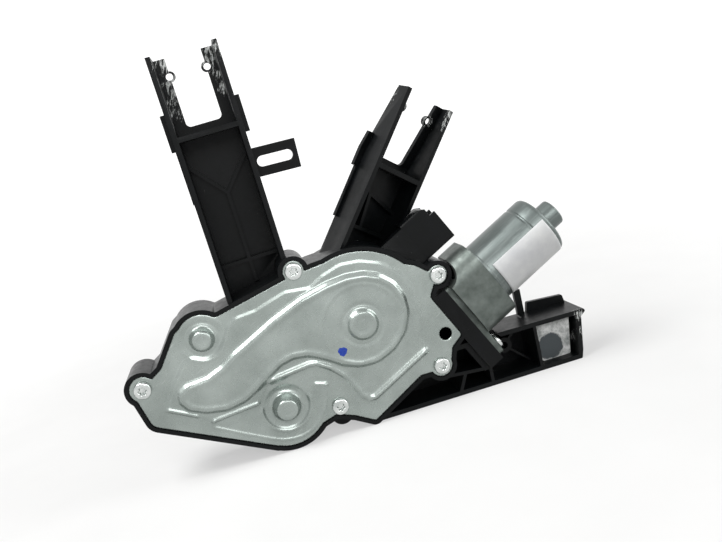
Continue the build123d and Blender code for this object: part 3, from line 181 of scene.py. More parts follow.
# ---- worn places ----
# Scuffs on the moulding, along the prongs' inner sides and at their tips.
SCUFFED_TIPS = [
    (-13.3, -16.5, 182.7), (-12.5, -16.5, 178.6), (-12.1, -16.5, 171.6), (-12.1, -16.5, 166.1),
    (-13.7, -16.5, 162.5), (-13.6, -16.5, 156.0), (11.6, -16.5, 182.0), (12.5, -16.5, 177.9),
    (13.5, -16.5, 170.7), (14.1, -16.5, 163.5), (9.8, -16.5, 177.5), (-15.3, -36.0, 180.9),
    (13.4, -36.0, 182.9), (14.7, -36.0, 178.8), (100.0, -27.0, 142.1), (96.2, -27.0, 137.4),
    (102.0, -27.0, 139.1), (101.3, -27.0, 133.6), (121.9, -27.0, 122.9), (118.7, -27.0, 118.5),
    (114.0, -27.0, 122.2), (166.0, -37.0, 1.0), (168.0, -36.0, -10.0), (165.0, -30.0, -12.0),
]
SCUFF_FULL, SCUFF_REACH = 1.75, 7.0
# Fork holes with a rubbed ring, at the front of the boss.
RUBBED_HOLES = [(-11.7, -16.8, 174.5), (7.6, -16.8, 174.5), (111.4, -19.6, 121.8),
                (97.3, -26.8, 132.7)]
RING_RADIUS, RING_HALF_WIDTH = 2.6, 1.1
# The dark hollow that is left in the worn block's face.
BLOCK_HOLLOW = (149.0, -31.0, -14.0)
HOLLOW_FULL, HOLLOW_REACH = 2.75, 11.0

# ---- studio ----
# Camera: its place in metres, its right and up directions, its lens in millimetres.
CAMERA_PLACE = (0.0002, -0.4100, 0.1342)
CAMERA_RIGHT = (0.9528, -0.1887, -0.2376)
CAMERA_UP = (0.2680, 0.1564, 0.9506)
CAMERA_LENS = 37.396
SENSOR_WIDTH = 36.0
# Lamps: name, place, aim and size in metres, power in watts.
LAMPS = [
    ("key", (-0.50, -0.18, 1.08), (0.05, -0.03, 0.05), (0.6, 0.6), 15.0),
    ("front", (0.25, -1.30, 0.75), (0.05, -0.03, 0.05), (0.9, 0.6), 8.0),
    ("right", (1.10, -0.25, 0.55), (0.08, -0.03, 0.04), (0.5, 0.8), 6.0),
]
WORLD_LEVEL = 0.14
# The board's own light, near the part and far from it, and the distances in metres.
BOARD_GLOW, BOARD_GLOW_FAR = 0.50, 0.95
GLOW_NEAR, GLOW_FAR = 0.22, 0.9
SWEEP_RADIUS, SWEEP_REACH, SWEEP_HEIGHT = 700.0, 500.0, 2600.0
SWEEP_FRONT, SWEEP_MIDDLE, SWEEP_HALF_WIDTH = -2500.0, -600.0, 3500.0

# ---- finishes ----
# Even finishes: name, colour, darker colour of its clouds, roughness, grain in mm, metallic.
EVEN_FINISHES = {
    # Bright and mirror-like, with a faint mottle from the plating bath.
    "screw": ("bright zinc", "#DADDDB", "#B4B9B7", 0.2, 0.6, 0.95),
    # Bright ground surfaces with a fine, tight grain.
    "ground": ("ground steel", "#C4C6C8", "#9EA1A4", 0.22, 0.4, 0.95),
    # Duller blanked steel with an oily cloud.
    "pressed": ("pressed steel", "#8D9092", "#6E7173", 0.36, 0.7, 0.95),
    # Porous and brown-gold, so half matt.
    "bronze": ("sintered bronze", "#A8824E", "#7E5E36", 0.4, 0.5, 0.95),
    # Warm red metal under clear enamel.
    "copper": ("enamelled copper", "#B8703A", "#8A4A22", 0.35, 0.5, 0.95),
    # Creamy white moulding with a soft gloss.
    "acetal": ("natural acetal", "#DEDACB", "#CFCAB8", 0.45, 1.0, 0.0),
    # Matt black with a faint bloom.
    "rubber": ("black nitrile rubber", "#1A1A1A", "#101010", 0.6, 0.8, 0.0),
    # Dark grey ceramic, dry and fine.
    "ferrite": ("sintered ferrite", "#3A3A3D", "#2A2A2C", 0.55, 0.8, 0.0),
    # Sooty black, dull.
    "carbon": ("brush carbon", "#2B2B2B", "#1C1C1C", 0.6, 0.4, 0.0),
    # A glossy dab, deeper in tone where it is thin.
    "paint": ("blue marking paint", "#0C43BC", "#083397", 0.3, 1.2, 0.0),
}
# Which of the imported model's carried-over pieces get each finish.
FINISHED_NODES = {
    "rubber": "housing_gasket shaft_seal",
    "acetal": "worm_wheel thrust_pad",
    "ground": "wheel_axle crank_pin lever_pin sector_shaft "
              "armature_shaft brush_springs output_shaft",
    "pressed": "wheel_clip connecting_rod sector_lever output_gear output_clip armature_core",
    "bronze": "output_bushes adaptor_bearing can_bearing brush_holders connector_terminals",
    "ferrite": "magnets",
    "copper": "armature_windings commutator",
    "polyamide": "brush_card gear_housing connector_socket",
    "carbon": "brushes",
    "block": "fork_insert",
    "zinc": "cover_plate",
    "screw": "cover_screws adaptor_screws",
    "cast": "motor_adaptor",
    "drawn": "motor_can",
    "label": "can_label",
}


# ---- shapes on arrays ----
def smooth_rise(t):
    """3t^2 - 2t^3 between 0 and 1: a rise with level ends."""
    t = np.clip(t, 0.0, 1.0)
    return t * t * (3.0 - 2.0 * t)


def bell(t):
    """e to the power -t^2: 1 at 0, falling evenly to both sides."""
    return np.exp(-t ** 2)


def rounded_outline(corners):
    """A closed polyline in which each corner is the arc that touches both its edges."""
    points = []
    count = len(corners)
    for k in range(count):
        x, z, radius = corners[k]
        here = np.array([x, z], float)
        if radius == 0:
            points.append(here[None, :])
            continue
        before = np.array(corners[k - 1][:2], float) - here
        after = np.array(corners[(k + 1) % count][:2], float) - here
        before /= np.linalg.norm(before)
        after /= np.linalg.norm(after)
        half = math.acos(float(np.clip(before @ after, -1, 1))) / 2
        middle = (before + after) / np.linalg.norm(before + after)
        centre = here + middle * radius / math.sin(half)
        start = here + before * radius / math.tan(half) - centre
        end = here + after * radius / math.tan(half) - centre
        turn = math.atan2(start[0] * end[1] - start[1] * end[0], start @ end)
        angles = math.atan2(start[1], start[0]) + np.linspace(0, turn, ARC_POINTS)
        points.append(centre + radius * np.stack([np.cos(angles), np.sin(angles)], 1))
    return np.concatenate(points)


def edge_distance(x, z, a, b):
    """Distance to the straight edge from a to b: to its nearest point, at a share t of the way."""
    edge = b - a
    t = np.clip(((x - a[0]) * edge[0] + (z - a[1]) * edge[1]) / (edge @ edge), 0, 1)
    return np.hypot(x - a[0] - t * edge[0], z - a[1] - t * edge[1])


def line_distance(x, z, points):
    """Distance to an open polyline: the least of its edges' distances."""
    points = np.array(points, float)
    best = np.full(x.shape, 1e9)
    for a, b in zip(points[:-1], points[1:]):
        best = np.minimum(best, edge_distance(x, z, a, b))
    return best


def polygon_distance(x, z, points):
    """Signed distance to a closed polyline: the nearest edge's distance, negative inside."""
    best = np.full(x.shape, 1e9)
    inside = np.zeros(x.shape, bool)
    for a, b in zip(points, np.roll(points, -1, axis=0)):
        best = np.minimum(best, edge_distance(x, z, a, b))
        crosses = (a[1] > z) != (b[1] > z)
        rise = np.where(b[1] == a[1], 1e-9, b[1] - a[1])
        inside ^= crosses & (x < (b[0] - a[0]) * (z - a[1]) / rise + a[0])
    return np.where(inside, -best, best)


def centre_distance(x, z, centre):
    """Distance to a centre: the root of the sum of the squares."""
    return np.hypot(x - centre[0], z - centre[1])


def grid_faces(shape, closed=False, start=0):
    """Four-sided faces of a grid of points, closed round its second way if asked."""
    index = np.arange(shape[0] * shape[1]).reshape(shape[:2]) + start
    if closed:
        index = np.hstack([index, index[:, :1]])
    corners = [index[:-1, :-1], index[1:, :-1], index[1:, 1:], index[:-1, 1:]]
    return np.stack(corners, -1).reshape(-1, 4)


def merge(mesh, distance, flat_angle=0.0):
    """Merges coincident points and, where an angle is given, joins faces flatter than it."""
    work = bmesh.new()
    work.from_mesh(mesh)
    bmesh.ops.remove_doubles(work, verts=work.verts, dist=distance)
    if flat_angle:
        bmesh.ops.dissolve_limit(work, angle_limit=flat_angle, verts=work.verts, edges=work.edges)
    work.to_mesh(mesh)
    work.free()
    mesh.shade_smooth()


def mesh_object(name, points, faces):
    """A smooth-shaded object from points in millimetres and faces, coincident points merged."""
    mesh = bpy.data.meshes.new(name)
    mesh.from_pydata((np.asarray(points) * MM).tolist(), [], np.asarray(faces).tolist())
    merge(mesh, 1e-6)
    mesh.validate()
    piece = bpy.data.objects.new(name, mesh)
    bpy.context.scene.collection.objects.link(piece)
    return piece


def surface(name, grid, closed=False, flip=False):
    """An object from one grid of points, with its faces turned over if asked."""
    faces = grid_faces(grid.shape, closed)
    return mesh_object(name, grid.reshape(-1, 3), faces[:, ::-1] if flip else faces)


def joined(name, grids):
    """One object from several grids of points, each closed round its second way."""
    faces, start = [], 0
    for grid in grids:
        faces.append(grid_faces(grid.shape, True, start))
        start += grid.shape[0] * grid.shape[1]
    points = np.concatenate([grid.reshape(-1, 3) for grid in grids])
    return mesh_object(name, points, np.concatenate(faces))


def circle_angles(count):
    """Evenly spaced angles once round."""
    return np.linspace(0, 2 * np.pi, count, endpoint=False)


def around(centre, axis, side, radius, angle, rise):
    """Centre, plus radius times the cosine and sine of the angle, plus rise along the axis."""
    up = np.cross(axis, side)
    return (np.array(centre) + (radius * np.cos(angle))[..., None] * side
            + (radius * np.sin(angle))[..., None] * up + rise[..., None] * axis)


def on_motor(along, across, depth):
    """Points from distances along, across and behind the motor's axis."""
    base = np.array([WORM_CENTRE[0], MOTOR_Y, WORM_CENTRE[1]])
    return (base + along[..., None] * ALONG + across[..., None] * ACROSS
            + depth[..., None] * DEPTH)


def turned(name, profile, segments=96):
    """A profile of (along, radius) turned about the motor's axis: radius times cosine and sine."""
    profile = np.array(profile, float)
    angle = circle_angles(segments)
    along = np.repeat(profile[:, :1], segments, 1)
    across = profile[:, 1:] * np.cos(angle)
    depth = profile[:, 1:] * np.sin(angle)
    return surface(name, on_motor(along, across, depth), closed=True, flip=True)


def rounded_profile(corners, steps=4):
    """An open profile from (along, radius, round): each corner is the quadratic curve between
    the points one round before and after it, with the corner as its middle control point."""
    points = []
    for k, (along, radius, reach) in enumerate(corners):
        here = np.array([along, radius], float)
        if reach == 0:
            points.append(here)
            continue
        before = np.array(corners[k - 1][:2], float) - here
        after = np.array(corners[k + 1][:2], float) - here
        start = here + before / np.linalg.norm(before) * reach
        end = here + after / np.linalg.norm(after) * reach
        for t in np.linspace(0, 1, steps + 1):
            points.append((1 - t) ** 2 * start + 2 * t * (1 - t) * here + t * t * end)
    return points


def softened_copy(node, name, width, segments=2, angle=28.0):
    """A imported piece's copy with its points merged, its flats joined and its edges rounded."""
    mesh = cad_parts[node].data.copy()
    mesh.name = name
    merge(mesh, 2e-6, math.radians(1.0))
    mesh.set_sharp_from_angle(angle=math.radians(angle))
    piece = bpy.data.objects.new(name, mesh)
    bpy.context.scene.collection.objects.link(piece)
    bevel = piece.modifiers.new("rounded edges", "BEVEL")
    bevel.width = width * MM
    bevel.segments = segments
    bevel.limit_method = "ANGLE"
    bevel.angle_limit = math.radians(angle)
    bevel.harden_normals = True
    bevel.loop_slide = False
    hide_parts(node)
    return piece


def add_wall(piece, name, thickness, side):
    """Thickens a sheet, in metres: side -1 puts the wall behind its face, 1 before it."""
    wall = piece.modifiers.new(name, "SOLIDIFY")
    wall.thickness = thickness
    wall.offset = side


def place(piece, body, finish):
    """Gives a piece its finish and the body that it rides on."""
    piece.data.materials.clear()
    piece.data.materials.append(finishes()[finish])
    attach(piece, body)


# ---- nodes of the finishes ----
USUAL_INPUTS = {"TexNoise": {"Detail": 3.0, "Roughness": 0.55}}
MIXED = {"data_type": "RGBA", "out": 2}  # a Mix node's colours: sockets 6 and 7, output 2


def linear(code):
    """An sRGB hex colour as linear values."""
    values = [int(code[k:k + 2], 16) / 255 for k in (1, 3, 5)]
    return [v / 12.92 if v <= 0.04045 else ((v + 0.055) / 1.055) ** 2.4 for v in values] + [1.0]


def grey(value):
    """A linear grey, for masks and roughness."""
    return [value, value, value, 1.0]


def grain_of(size_mm):
    """The noise scale whose features are about this size in millimetres."""
    return 1.0 / (size_mm * MM)


def in_metres(place_mm):
    """The same place in metres."""
    return [value * MM for value in place_mm]


def feed(tree, node, inputs):
    """Sets each named input of a node to a value, or links it to another node's output."""
    for name, value in inputs.items():
        if isinstance(value, bpy.types.NodeSocket):
            tree.links.new(value, node.inputs[name])
        else:
            node.inputs[name].default_value = value


def add(tree, kind, inputs, out=0, stops=(), **settings):
    """A node with its settings, its inputs over the usual ones, and a ramp's colour stops."""
    made = tree.nodes.new("ShaderNode" + kind)
    for name, value in settings.items():
        setattr(made, name, value)
    feed(tree, made, {**USUAL_INPUTS.get(kind, {}), **inputs})
    if stops:
        elements = made.color_ramp.elements
        for position, colour in stops[1:-1]:
            elements.new(position).color = colour
        elements[0].position, elements[0].color = stops[0]
        elements[-1].position, elements[-1].color = stops[-1]
    return made.outputs[out]


def start_material(name):
    """A new finish: its material, node tree, shader and the coordinates of its object."""
    made = bpy.data.materials.new(name)
    made.use_nodes = True
    tree = made.node_tree
    return made, tree, tree.nodes["Principled BSDF"], add(tree, "TexCoord", {}, "Object")


def greatest(tree, values):
    """The greatest of several values, compared two at a time."""
    total = values[0]
    for value in values[1:]:
        total = add(tree, "Math", {0: total, 1: value}, operation="MAXIMUM")
    return total


def seen_directly(tree):
    """1 for rays from the eye, a gloss or a clear piece, 0 for light on a matt surface."""
    path = tree.nodes.new("ShaderNodeLightPath").outputs
    return greatest(tree, [path["Is Camera Ray"], path["Is Glossy Ray"],
                           path["Is Transmission Ray"]])


def mask_near(tree, at, spots, full_mm, reach_mm, ring_mm=0.0):
    """1 up to the full distance from a spot or from a ring about it, falling to 0 at the reach."""
    masks = []
    for spot in spots:
        away = add(tree, "VectorMath", {0: at, 1: in_metres(spot)}, "Value", operation="DISTANCE")
        if ring_mm:
            away = add(tree, "Math", {0: away, 1: ring_mm * MM}, operation="SUBTRACT")
            away = add(tree, "Math", {0: away}, operation="ABSOLUTE")
        masks.append(add(tree, "MapRange", {
            "Value": away, "From Min": full_mm * MM, "From Max": reach_mm * MM,
            "To Min": 1.0, "To Max": 0.0}))
    return greatest(tree, masks)


# ---- finishes ----
def glass_filled_polyamide(colour):
    """Moulded black polyamide: satin, with a fine grain and pale streaks where it was levered.

    The real grain is a few hundredths of a millimetre, drawn 0.5 mm wide so that it shows."""
    made, tree, shader, at = start_material("moulded polyamide")
    patches = add(tree, "TexNoise", {"Vector": at, "Scale": grain_of(9.0)})
    up_prong = add(tree, "Mapping", {"Vector": at, "Rotation": (0.0, -1.3, 0.0),
                                     "Scale": (5.0, 1.0, 1.0)}, vector_type="TEXTURE")
    scuffs = add(tree, "TexNoise", {"Vector": up_prong, "Scale": grain_of(0.8), "Detail": 5.0,
                                    "Roughness": 0.8})
    near = greatest(tree, [mask_near(tree, at, SCUFFED_TIPS, SCUFF_FULL, SCUFF_REACH),
                           mask_near(tree, at, RUBBED_HOLES, 0.0, RING_HALF_WIDTH, RING_RADIUS)])
    wear = add(tree, "Math", {0: near, 1: 0.20, 2: scuffs}, operation="MULTIPLY_ADD")
    worn = add(tree, "ValToRGB", {"Fac": wear}, stops=[(0.705, grey(0.0)), (0.745, grey(1.0))])
    base = add(tree, "ValToRGB", {"Fac": patches}, stops=[
        (0.3, linear(colour)), (0.75, linear("#0C0E10"))])
    sheen = add(tree, "TexNoise", {"Vector": at, "Scale": grain_of(3.0)})
    rough = add(tree, "ValToRGB", {"Fac": sheen}, stops=[(0.3, grey(0.28)), (0.7, grey(0.40))])
    grain = add(tree, "TexNoise", {"Vector": at, "Scale": grain_of(0.5), "Detail": 2.0})
    feed(tree, shader, {
        "Base Color": add(tree, "Mix", {"Factor": worn, 6: base, 7: linear("#D4D7D5")}, **MIXED),
        "Roughness": add(tree, "Mix", {"Factor": worn, 6: rough, 7: grey(0.7)}, **MIXED),
        "Specular IOR Level": 0.15,
        "Normal": add(tree, "Bump", {"Height": grain, "Distance": 0.03 * MM, "Strength": 0.5}),
    })
    return made


def zinc_plated_sheet(colour):
    """Pressed steel, zinc plated and passivated: soft grey sheen, drawing marks and stains.

    The real marks are finer, drawn 0.6 mm wide so that they show."""
    made, tree, shader, at = start_material("zinc plated sheet")
    cloud = add(tree, "TexNoise", {"Vector": at, "Scale": grain_of(22.0), "Detail": 4.0})
    base = add(tree, "ValToRGB", {"Fac": cloud}, stops=[
        (0.28, linear("#8D9591")), (0.5, linear(colour)), (0.75, linear("#A7AFAB"))])
    drawn = add(tree, "Mapping", {"Vector": at, "Rotation": (0.0, -0.5, 0.0),
                                  "Scale": (12.0, 1.0, 1.0)}, vector_type="TEXTURE")
    marks = add(tree, "TexNoise", {"Vector": drawn, "Scale": grain_of(0.6), "Roughness": 0.7})
    scratches = add(tree, "ValToRGB", {"Fac": marks}, stops=[
        (0.64, grey(0.0)), (0.74, grey(0.55))])
    scratched = add(tree, "Mix", {"Factor": scratches, 6: base, 7: linear("#BFC6C2")}, **MIXED)
    stains = add(tree, "TexNoise", {"Vector": at, "Scale": grain_of(2.2), "Detail": 2.0})
    spots = add(tree, "ValToRGB", {"Fac": stains}, stops=[(0.72, grey(0.0)), (0.80, grey(0.4))])
    sheen = add(tree, "TexNoise", {"Vector": at, "Scale": grain_of(5.0), "Detail": 4.0})
    dents = add(tree, "TexNoise", {"Vector": at, "Scale": grain_of(7.0)})
    feed(tree, shader, {
        "Base Color": add(tree, "Mix", {"Factor": spots, 6: scratched, 7: linear("#6E7571")},
                          **MIXED),
        "Roughness": add(tree, "ValToRGB", {"Fac": sheen}, stops=[
            (0.3, grey(0.21)), (0.7, grey(0.33))]),
        "Metallic": 0.82,
        "Normal": add(tree, "Bump", {"Height": dents, "Distance": 0.05 * MM, "Strength": 0.6}),
    })
    return made


def even_finish(name, colour, dark, roughness, grain_mm, metallic):
    """A finish with cloudy tone, uneven gloss and a fine grain, all scaled from the grain."""
    made, tree, shader, at = start_material(name)
    cloud = add(tree, "TexNoise", {"Vector": at, "Scale": grain_of(6.0 * grain_mm + 2.0),
                                   "Detail": 4.0})
    sheen = add(tree, "TexNoise", {"Vector": at, "Scale": grain_of(2.0 * grain_mm + 1.0)})
    grain = add(tree, "TexNoise", {"Vector": at, "Scale": grain_of(grain_mm), "Detail": 2.0})
    feed(tree, shader, {
        "Base Color": add(tree, "ValToRGB", {"Fac": cloud}, stops=[
            (0.3, linear(dark)), (0.7, linear(colour))]),
        "Roughness": add(tree, "ValToRGB", {"Fac": sheen}, stops=[
            (0.3, grey(roughness * 0.8)), (0.7, grey(roughness * 1.2))]),
        "Metallic": metallic,
        "Normal": add(tree, "Bump", {"Height": grain, "Distance": 0.04 * grain_mm * MM,
                                     "Strength": 0.5}),
    })
    return made


def drawn_steel(colour):
    """A deep-drawn can: dull grey with faint streaks along the draw.

    The real streaks are finer, drawn 1.3 mm wide so that they show."""
    made, tree, shader, at = start_material("deep-drawn steel")
    drawn = add(tree, "Mapping", {"Vector": at, "Rotation": (0.0, -MOTOR_TURN, 0.0),
                                  "Scale": (12.0, 1.0, 1.0)}, vector_type="TEXTURE")
    streaks = add(tree, "TexNoise", {"Vector": drawn, "Scale": grain_of(1.3), "Detail": 4.0,
                                     "Roughness": 0.6})
    pale = add(tree, "ValToRGB", {"Fac": streaks}, stops=[(0.5, grey(0.0)), (0.75, grey(0.4))])
    cloud = add(tree, "TexNoise", {"Vector": at, "Scale": grain_of(16.0), "Detail": 4.0})
    tone = add(tree, "ValToRGB", {"Fac": cloud}, stops=[
        (0.2, linear("#5C6462")), (0.8, linear(colour))])
    feed(tree, shader, {
        "Base Color": add(tree, "Mix", {"Factor": pale, 6: tone, 7: linear("#8C9391")}, **MIXED),
        "Roughness": add(tree, "ValToRGB", {"Fac": streaks}, stops=[
            (0.3, grey(0.30)), (0.7, grey(0.42))]),
        "Metallic": 0.75,
        "Normal": add(tree, "Bump", {"Height": streaks, "Distance": 0.02 * MM, "Strength": 0.5}),
    })
    return made


def worn_rubber(colour):
    """A grey damping block: its face crumbled to chalky white, with one dark hollow left."""
    made, tree, shader, at = start_material("worn damping rubber")
    patches = add(tree, "TexNoise", {"Vector": at, "Scale": grain_of(5.5), "Detail": 5.0,
                                     "Roughness": 0.7})
    rubbed = add(tree, "ValToRGB", {"Fac": patches}, stops=[
        (0.34, linear("#8A8F8E")), (0.46, linear("#B9BCBA")), (0.62, linear("#F0F1F0"))])
    near = mask_near(tree, at, [BLOCK_HOLLOW], HOLLOW_FULL, HOLLOW_REACH)
    deep = add(tree, "Math", {0: near, 1: patches}, operation="MULTIPLY")
    kept = add(tree, "ValToRGB", {"Fac": deep}, stops=[(0.20, grey(0.0)), (0.24, grey(1.0))])
    feed(tree, shader, {
        "Base Color": add(tree, "Mix", {"Factor": kept, 6: rubbed, 7: linear(colour)}, **MIXED),
        "Roughness": 0.75,
        "Normal": add(tree, "Bump", {"Height": patches, "Distance": 0.5 * MM, "Strength": 0.8}),
    })
    return made


def label_film(colour):
    """Bare white film: smooth and half glossy, a little greyed in clouds."""
    made, tree, shader, at = start_material("bare label film")
    cloud = add(tree, "TexNoise", {"Vector": at, "Scale": grain_of(8.0)})
    sheen = add(tree, "TexNoise", {"Vector": at, "Scale": grain_of(2.0)})
    feed(tree, shader, {
        "Base Color": add(tree, "ValToRGB", {"Fac": cloud}, stops=[
            (0.3, linear("#CBCCCE")), (0.7, linear(colour))]),
        "Roughness": add(tree, "ValToRGB", {"Fac": sheen}, stops=[
            (0.3, grey(0.32)), (0.7, grey(0.42))]),
    })
    return made


def studio_board(colour):
    """The pale board that the part stands on: white to the eye, a quiet grey to the light."""
    made, tree, shader, at = start_material("studio board")
    cloud = add(tree, "TexNoise", {"Vector": at, "Scale": grain_of(60.0)})
    away = add(tree, "VectorMath", {0: at}, "Value", operation="LENGTH")
    level = add(tree, "MapRange", {"Value": away, "From Min": GLOW_NEAR, "From Max": GLOW_FAR,
                                   "To Min": BOARD_GLOW, "To Max": BOARD_GLOW_FAR})
    feed(tree, shader, {
        "Base Color": add(tree, "ValToRGB", {"Fac": cloud}, stops=[
            (0.3, linear(colour)), (0.7, linear("#A2A2A1"))]),
        "Roughness": 0.9,
        "Specular IOR Level": 0.1,
        "Emission Color": linear("#FFFFFF"),
        "Emission Strength": add(tree, "Math", {0: seen_directly(tree), 1: level},
                                 operation="MULTIPLY"),
    })
    return made


def finishes():
    """Every finish by its short name, made once."""
    kept = {m["finish"]: m for m in bpy.data.materials if "finish" in m}
    if kept:
        return kept
    look = bpy.context.scene.wiper_finish
    made = {key: even_finish(*values) for key, values in EVEN_FINISHES.items()}
    made["polyamide"] = glass_filled_polyamide(look.moulding)
    made["zinc"] = zinc_plated_sheet(look.cover)
    # Dull grey cast skin with soft clouds and a sandy grain.
    made["cast"] = even_finish("pressure die-cast alloy", look.casting, dark="#4F5652",
                               roughness=0.42, grain_mm=0.9, metallic=0.75)
    made["drawn"] = drawn_steel(look.can)
    made["label"] = label_film(look.label)
    made["block"] = worn_rubber("#4B5154")
    made["board"] = studio_board("#9E9E9D")
    for key, value in made.items():
        value["finish"] = key
    return made


# ---- pressed cover ----
def cover_height(x, z):
    """Height of the pressed sheet before the joint: levels, rims, rings and lines added up, then
    the cups and the screws' flat seats blended in."""
    base = bpy.context.scene.wiper_sizes.sheet / MM
    field = polygon_distance(x, z, rounded_outline(FIELD_CORNERS))
    plateau = polygon_distance(x, z, rounded_outline(PLATEAU_CORNERS))
    height = base + FIELD_RISE * smooth_rise(0.5 - field / FIELD_SLOPE)
    height += PLATEAU_RISE * smooth_rise(0.5 - plateau / PLATEAU_SLOPE)
    height += RIM_RISE * bell((plateau + RIM_INSET) / RIM_WIDTH)
    for centre, radius, rise, half_width in PRESSED_RINGS:
        height += rise * bell((centre_distance(x, z, centre) - radius) / half_width)
    ring = centre_distance(x, z, OUTPUT)
    height -= (MOAT_DEPTH * smooth_rise((MOAT_OUTER - ring) / MOAT_WALLS[1])
               * smooth_rise((ring - MOAT_INNER) / MOAT_WALLS[0]))
    closed = smooth_rise((COLLAR_TOP - z + OUTPUT[1]) / COLLAR_FADE)
    height += COLLAR_RISE * closed * bell((ring - COLLAR_RADIUS) / COLLAR_WIDTH)
    for points, rise, half_width in PRESSED_LINES:
        away = line_distance(x, z, points) / half_width
        height += rise * np.where(away < LINE_REACH, np.exp(-away ** 2 * LINE_FALL), 0.0)
    for centre, radius, top in CUPS:
        away = centre_distance(x, z, centre)
        height -= CUP_GROOVE * bell((away - radius - CUP_GROOVE_OUT) / CUP_GROOVE_WIDTH)
        share = smooth_rise((radius + CUP_FOOT - away) / CUP_SLOPE)
        crown = top - CUP_DISH * smooth_rise((radius - CUP_DISH_INSET - away) / CUP_DISH_SLOPE)
        height = height * (1 - share) + crown * share
    for centre in COVER_SCREWS:
        seat = smooth_rise((SEAT_RADIUS - centre_distance(x, z, centre)) / SEAT_SLOPE)
        height = height * (1 - seat) + base * seat
    return height


def cover_edge(x, z):
    """Signed distance to the sheet's edge: the least of the polygon's and the rounds' distances,
    with the locating hole taken out."""
    edge = polygon_distance(x, z, rounded_outline(PLATE_CORNERS))
    for centre, radius in PLATE_ROUNDS:
        edge = np.minimum(edge, centre_distance(x, z, centre) - radius)
    return np.maximum(edge, LOCATING_HOLE_RADIUS - centre_distance(x, z, LOCATING_HOLE))


def cover_sheet():
    """Points and faces of the cover: a grid in x and z at the height above, trimmed to the edge by
    moving its border points down the edge distance's slope to zero."""
    step = bpy.context.scene.wiper_sizes.cover_grid / MM
    left, right, low, high = COVER_SPAN
    x, z = np.meshgrid(np.arange(left, right, step), np.arange(low, high, step), indexing="ij")
    edge = cover_edge(x, z)
    middle = (edge[:-1, :-1] + edge[1:, :-1] + edge[1:, 1:] + edge[:-1, 1:]) / 4
    index = np.arange(x.size).reshape(x.shape)
    faces = np.stack([index[1:, :-1], index[1:, 1:], index[:-1, 1:], index[:-1, :-1]], -1)
    faces = faces[middle < -EDGE_TRIM * step]
    uses = np.bincount(faces.ravel(), minlength=x.size).reshape(x.shape)
    border = (uses > 0) & (uses < 4)
    for _ in range(EDGE_PASSES):
        bx, bz = x[border], z[border]
        slope_x, slope_z = [
            (cover_edge(bx + dx, bz + dz) - cover_edge(bx - dx, bz - dz)) / (2 * EDGE_PROBE)
            for dx, dz in ((EDGE_PROBE, 0.0), (0.0, EDGE_PROBE))]
        away = cover_edge(bx, bz) / np.maximum(slope_x ** 2 + slope_z ** 2, LEAST_SLOPE)
        x[border] = bx - away * slope_x
        z[border] = bz - away * slope_z
    rolled = EDGE_ROLL * smooth_rise(1.0 + cover_edge(x, z) / EDGE_ROLL_WIDTH)
    points = np.stack([x, JOINT_Y - cover_height(x, z) + rolled, z], -1).reshape(-1, 3)
    used, compact = np.unique(faces, return_inverse=True)
    return points[used], compact.reshape(faces.shape)


# ---- screws ----
def screw_head(centre, axis, side, radius, height):
    """A pan head as height over a disc: a crown that falls with the square of the radius, an
    elliptic rim, and a recess whose wall is a circle with a cosine of six lobes."""
    radii = np.concatenate([np.linspace(*RECESS_BAND, 14), np.linspace(CROWN_START, radius, 14)])
    angle = circle_angles(72)
    r, t = np.meshgrid(radii, angle, indexing="ij")
    rise = height * (1 - HEAD_CROWN * (r / radius) ** 2)
    edge = np.clip((r - radius + HEAD_ROUND) / HEAD_ROUND, 0, 1)
    rise -= (1 - np.sqrt(1 - edge ** 2 * RIM_SHARE)) * HEAD_DROP
    wall = RECESS_RADIUS + RECESS_LOBE * np.cos(RECESS_LOBES * t)
    rise -= RECESS_DEPTH * smooth_rise((wall - r) / RECESS_WALL)
    head = around(centre, axis, side, r, t, rise)
    foot_radius = np.array([[radius], [0.0]]) * np.ones(angle.size)
    foot = around(centre, axis, side, foot_radius, angle, np.zeros((2, angle.size)))
    return np.concatenate([head, foot])


def shank(centre, axis, side):
    """A shank below its head: a cylinder less a cosine of the way along it plus the angle."""
    down = np.concatenate([[0.0], np.linspace(0, SHANK_LENGTH, 60)])
    s, t = np.meshgrid(down, circle_angles(24), indexing="ij")
    thread = SHANK_THREAD * np.cos(2 * np.pi * s / SHANK_PITCH + t) - SHANK_CORE
    r = SHANK_RADIUS + thread * smooth_rise(s)
    r[[0, -1]] = 0.0
    return around(centre, axis, side, r, t, -s)


def screw_set(name, node, screws):
    """Heads and shanks at (centre, axis, side) as one piece that stands for a node."""
    sizes = bpy.context.scene.wiper_sizes
    grids = []
    for centre, axis, side in screws:
        grids.append(screw_head(centre, axis, side, sizes.head_radius / MM,
                                sizes.head_height / MM))
        grids.append(shank(centre, axis, side))
    heads = joined(name, grids)
    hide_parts(node)
    place(heads, "housing", "screw")


# ---- settings ----
class WiperSizes(bpy.types.PropertyGroup):
    """Sizes that a user would change"""
    sheet: bpy.props.FloatProperty(
        name="Sheet thickness", description="Thickness of the pressed cover",
        default=0.0014, unit="LENGTH")
    cover_grid: bpy.props.FloatProperty(
        name="Cover detail", description="Spacing of the pressed cover's points",
        default=0.0005, unit="LENGTH")
    edge_round: bpy.props.FloatProperty(
        name="Moulded edge", description="Rounding of the moulding's edges",
        default=0.0004, unit="LENGTH")
    head_radius: bpy.props.FloatProperty(
        name="Screw head radius", description="Radius of the cover screws' pan heads",
        default=0.0044, unit="LENGTH")
    head_height: bpy.props.FloatProperty(
        name="Screw head height", description="Height of the cover screws' pan heads",
        default=0.0026, unit="LENGTH")


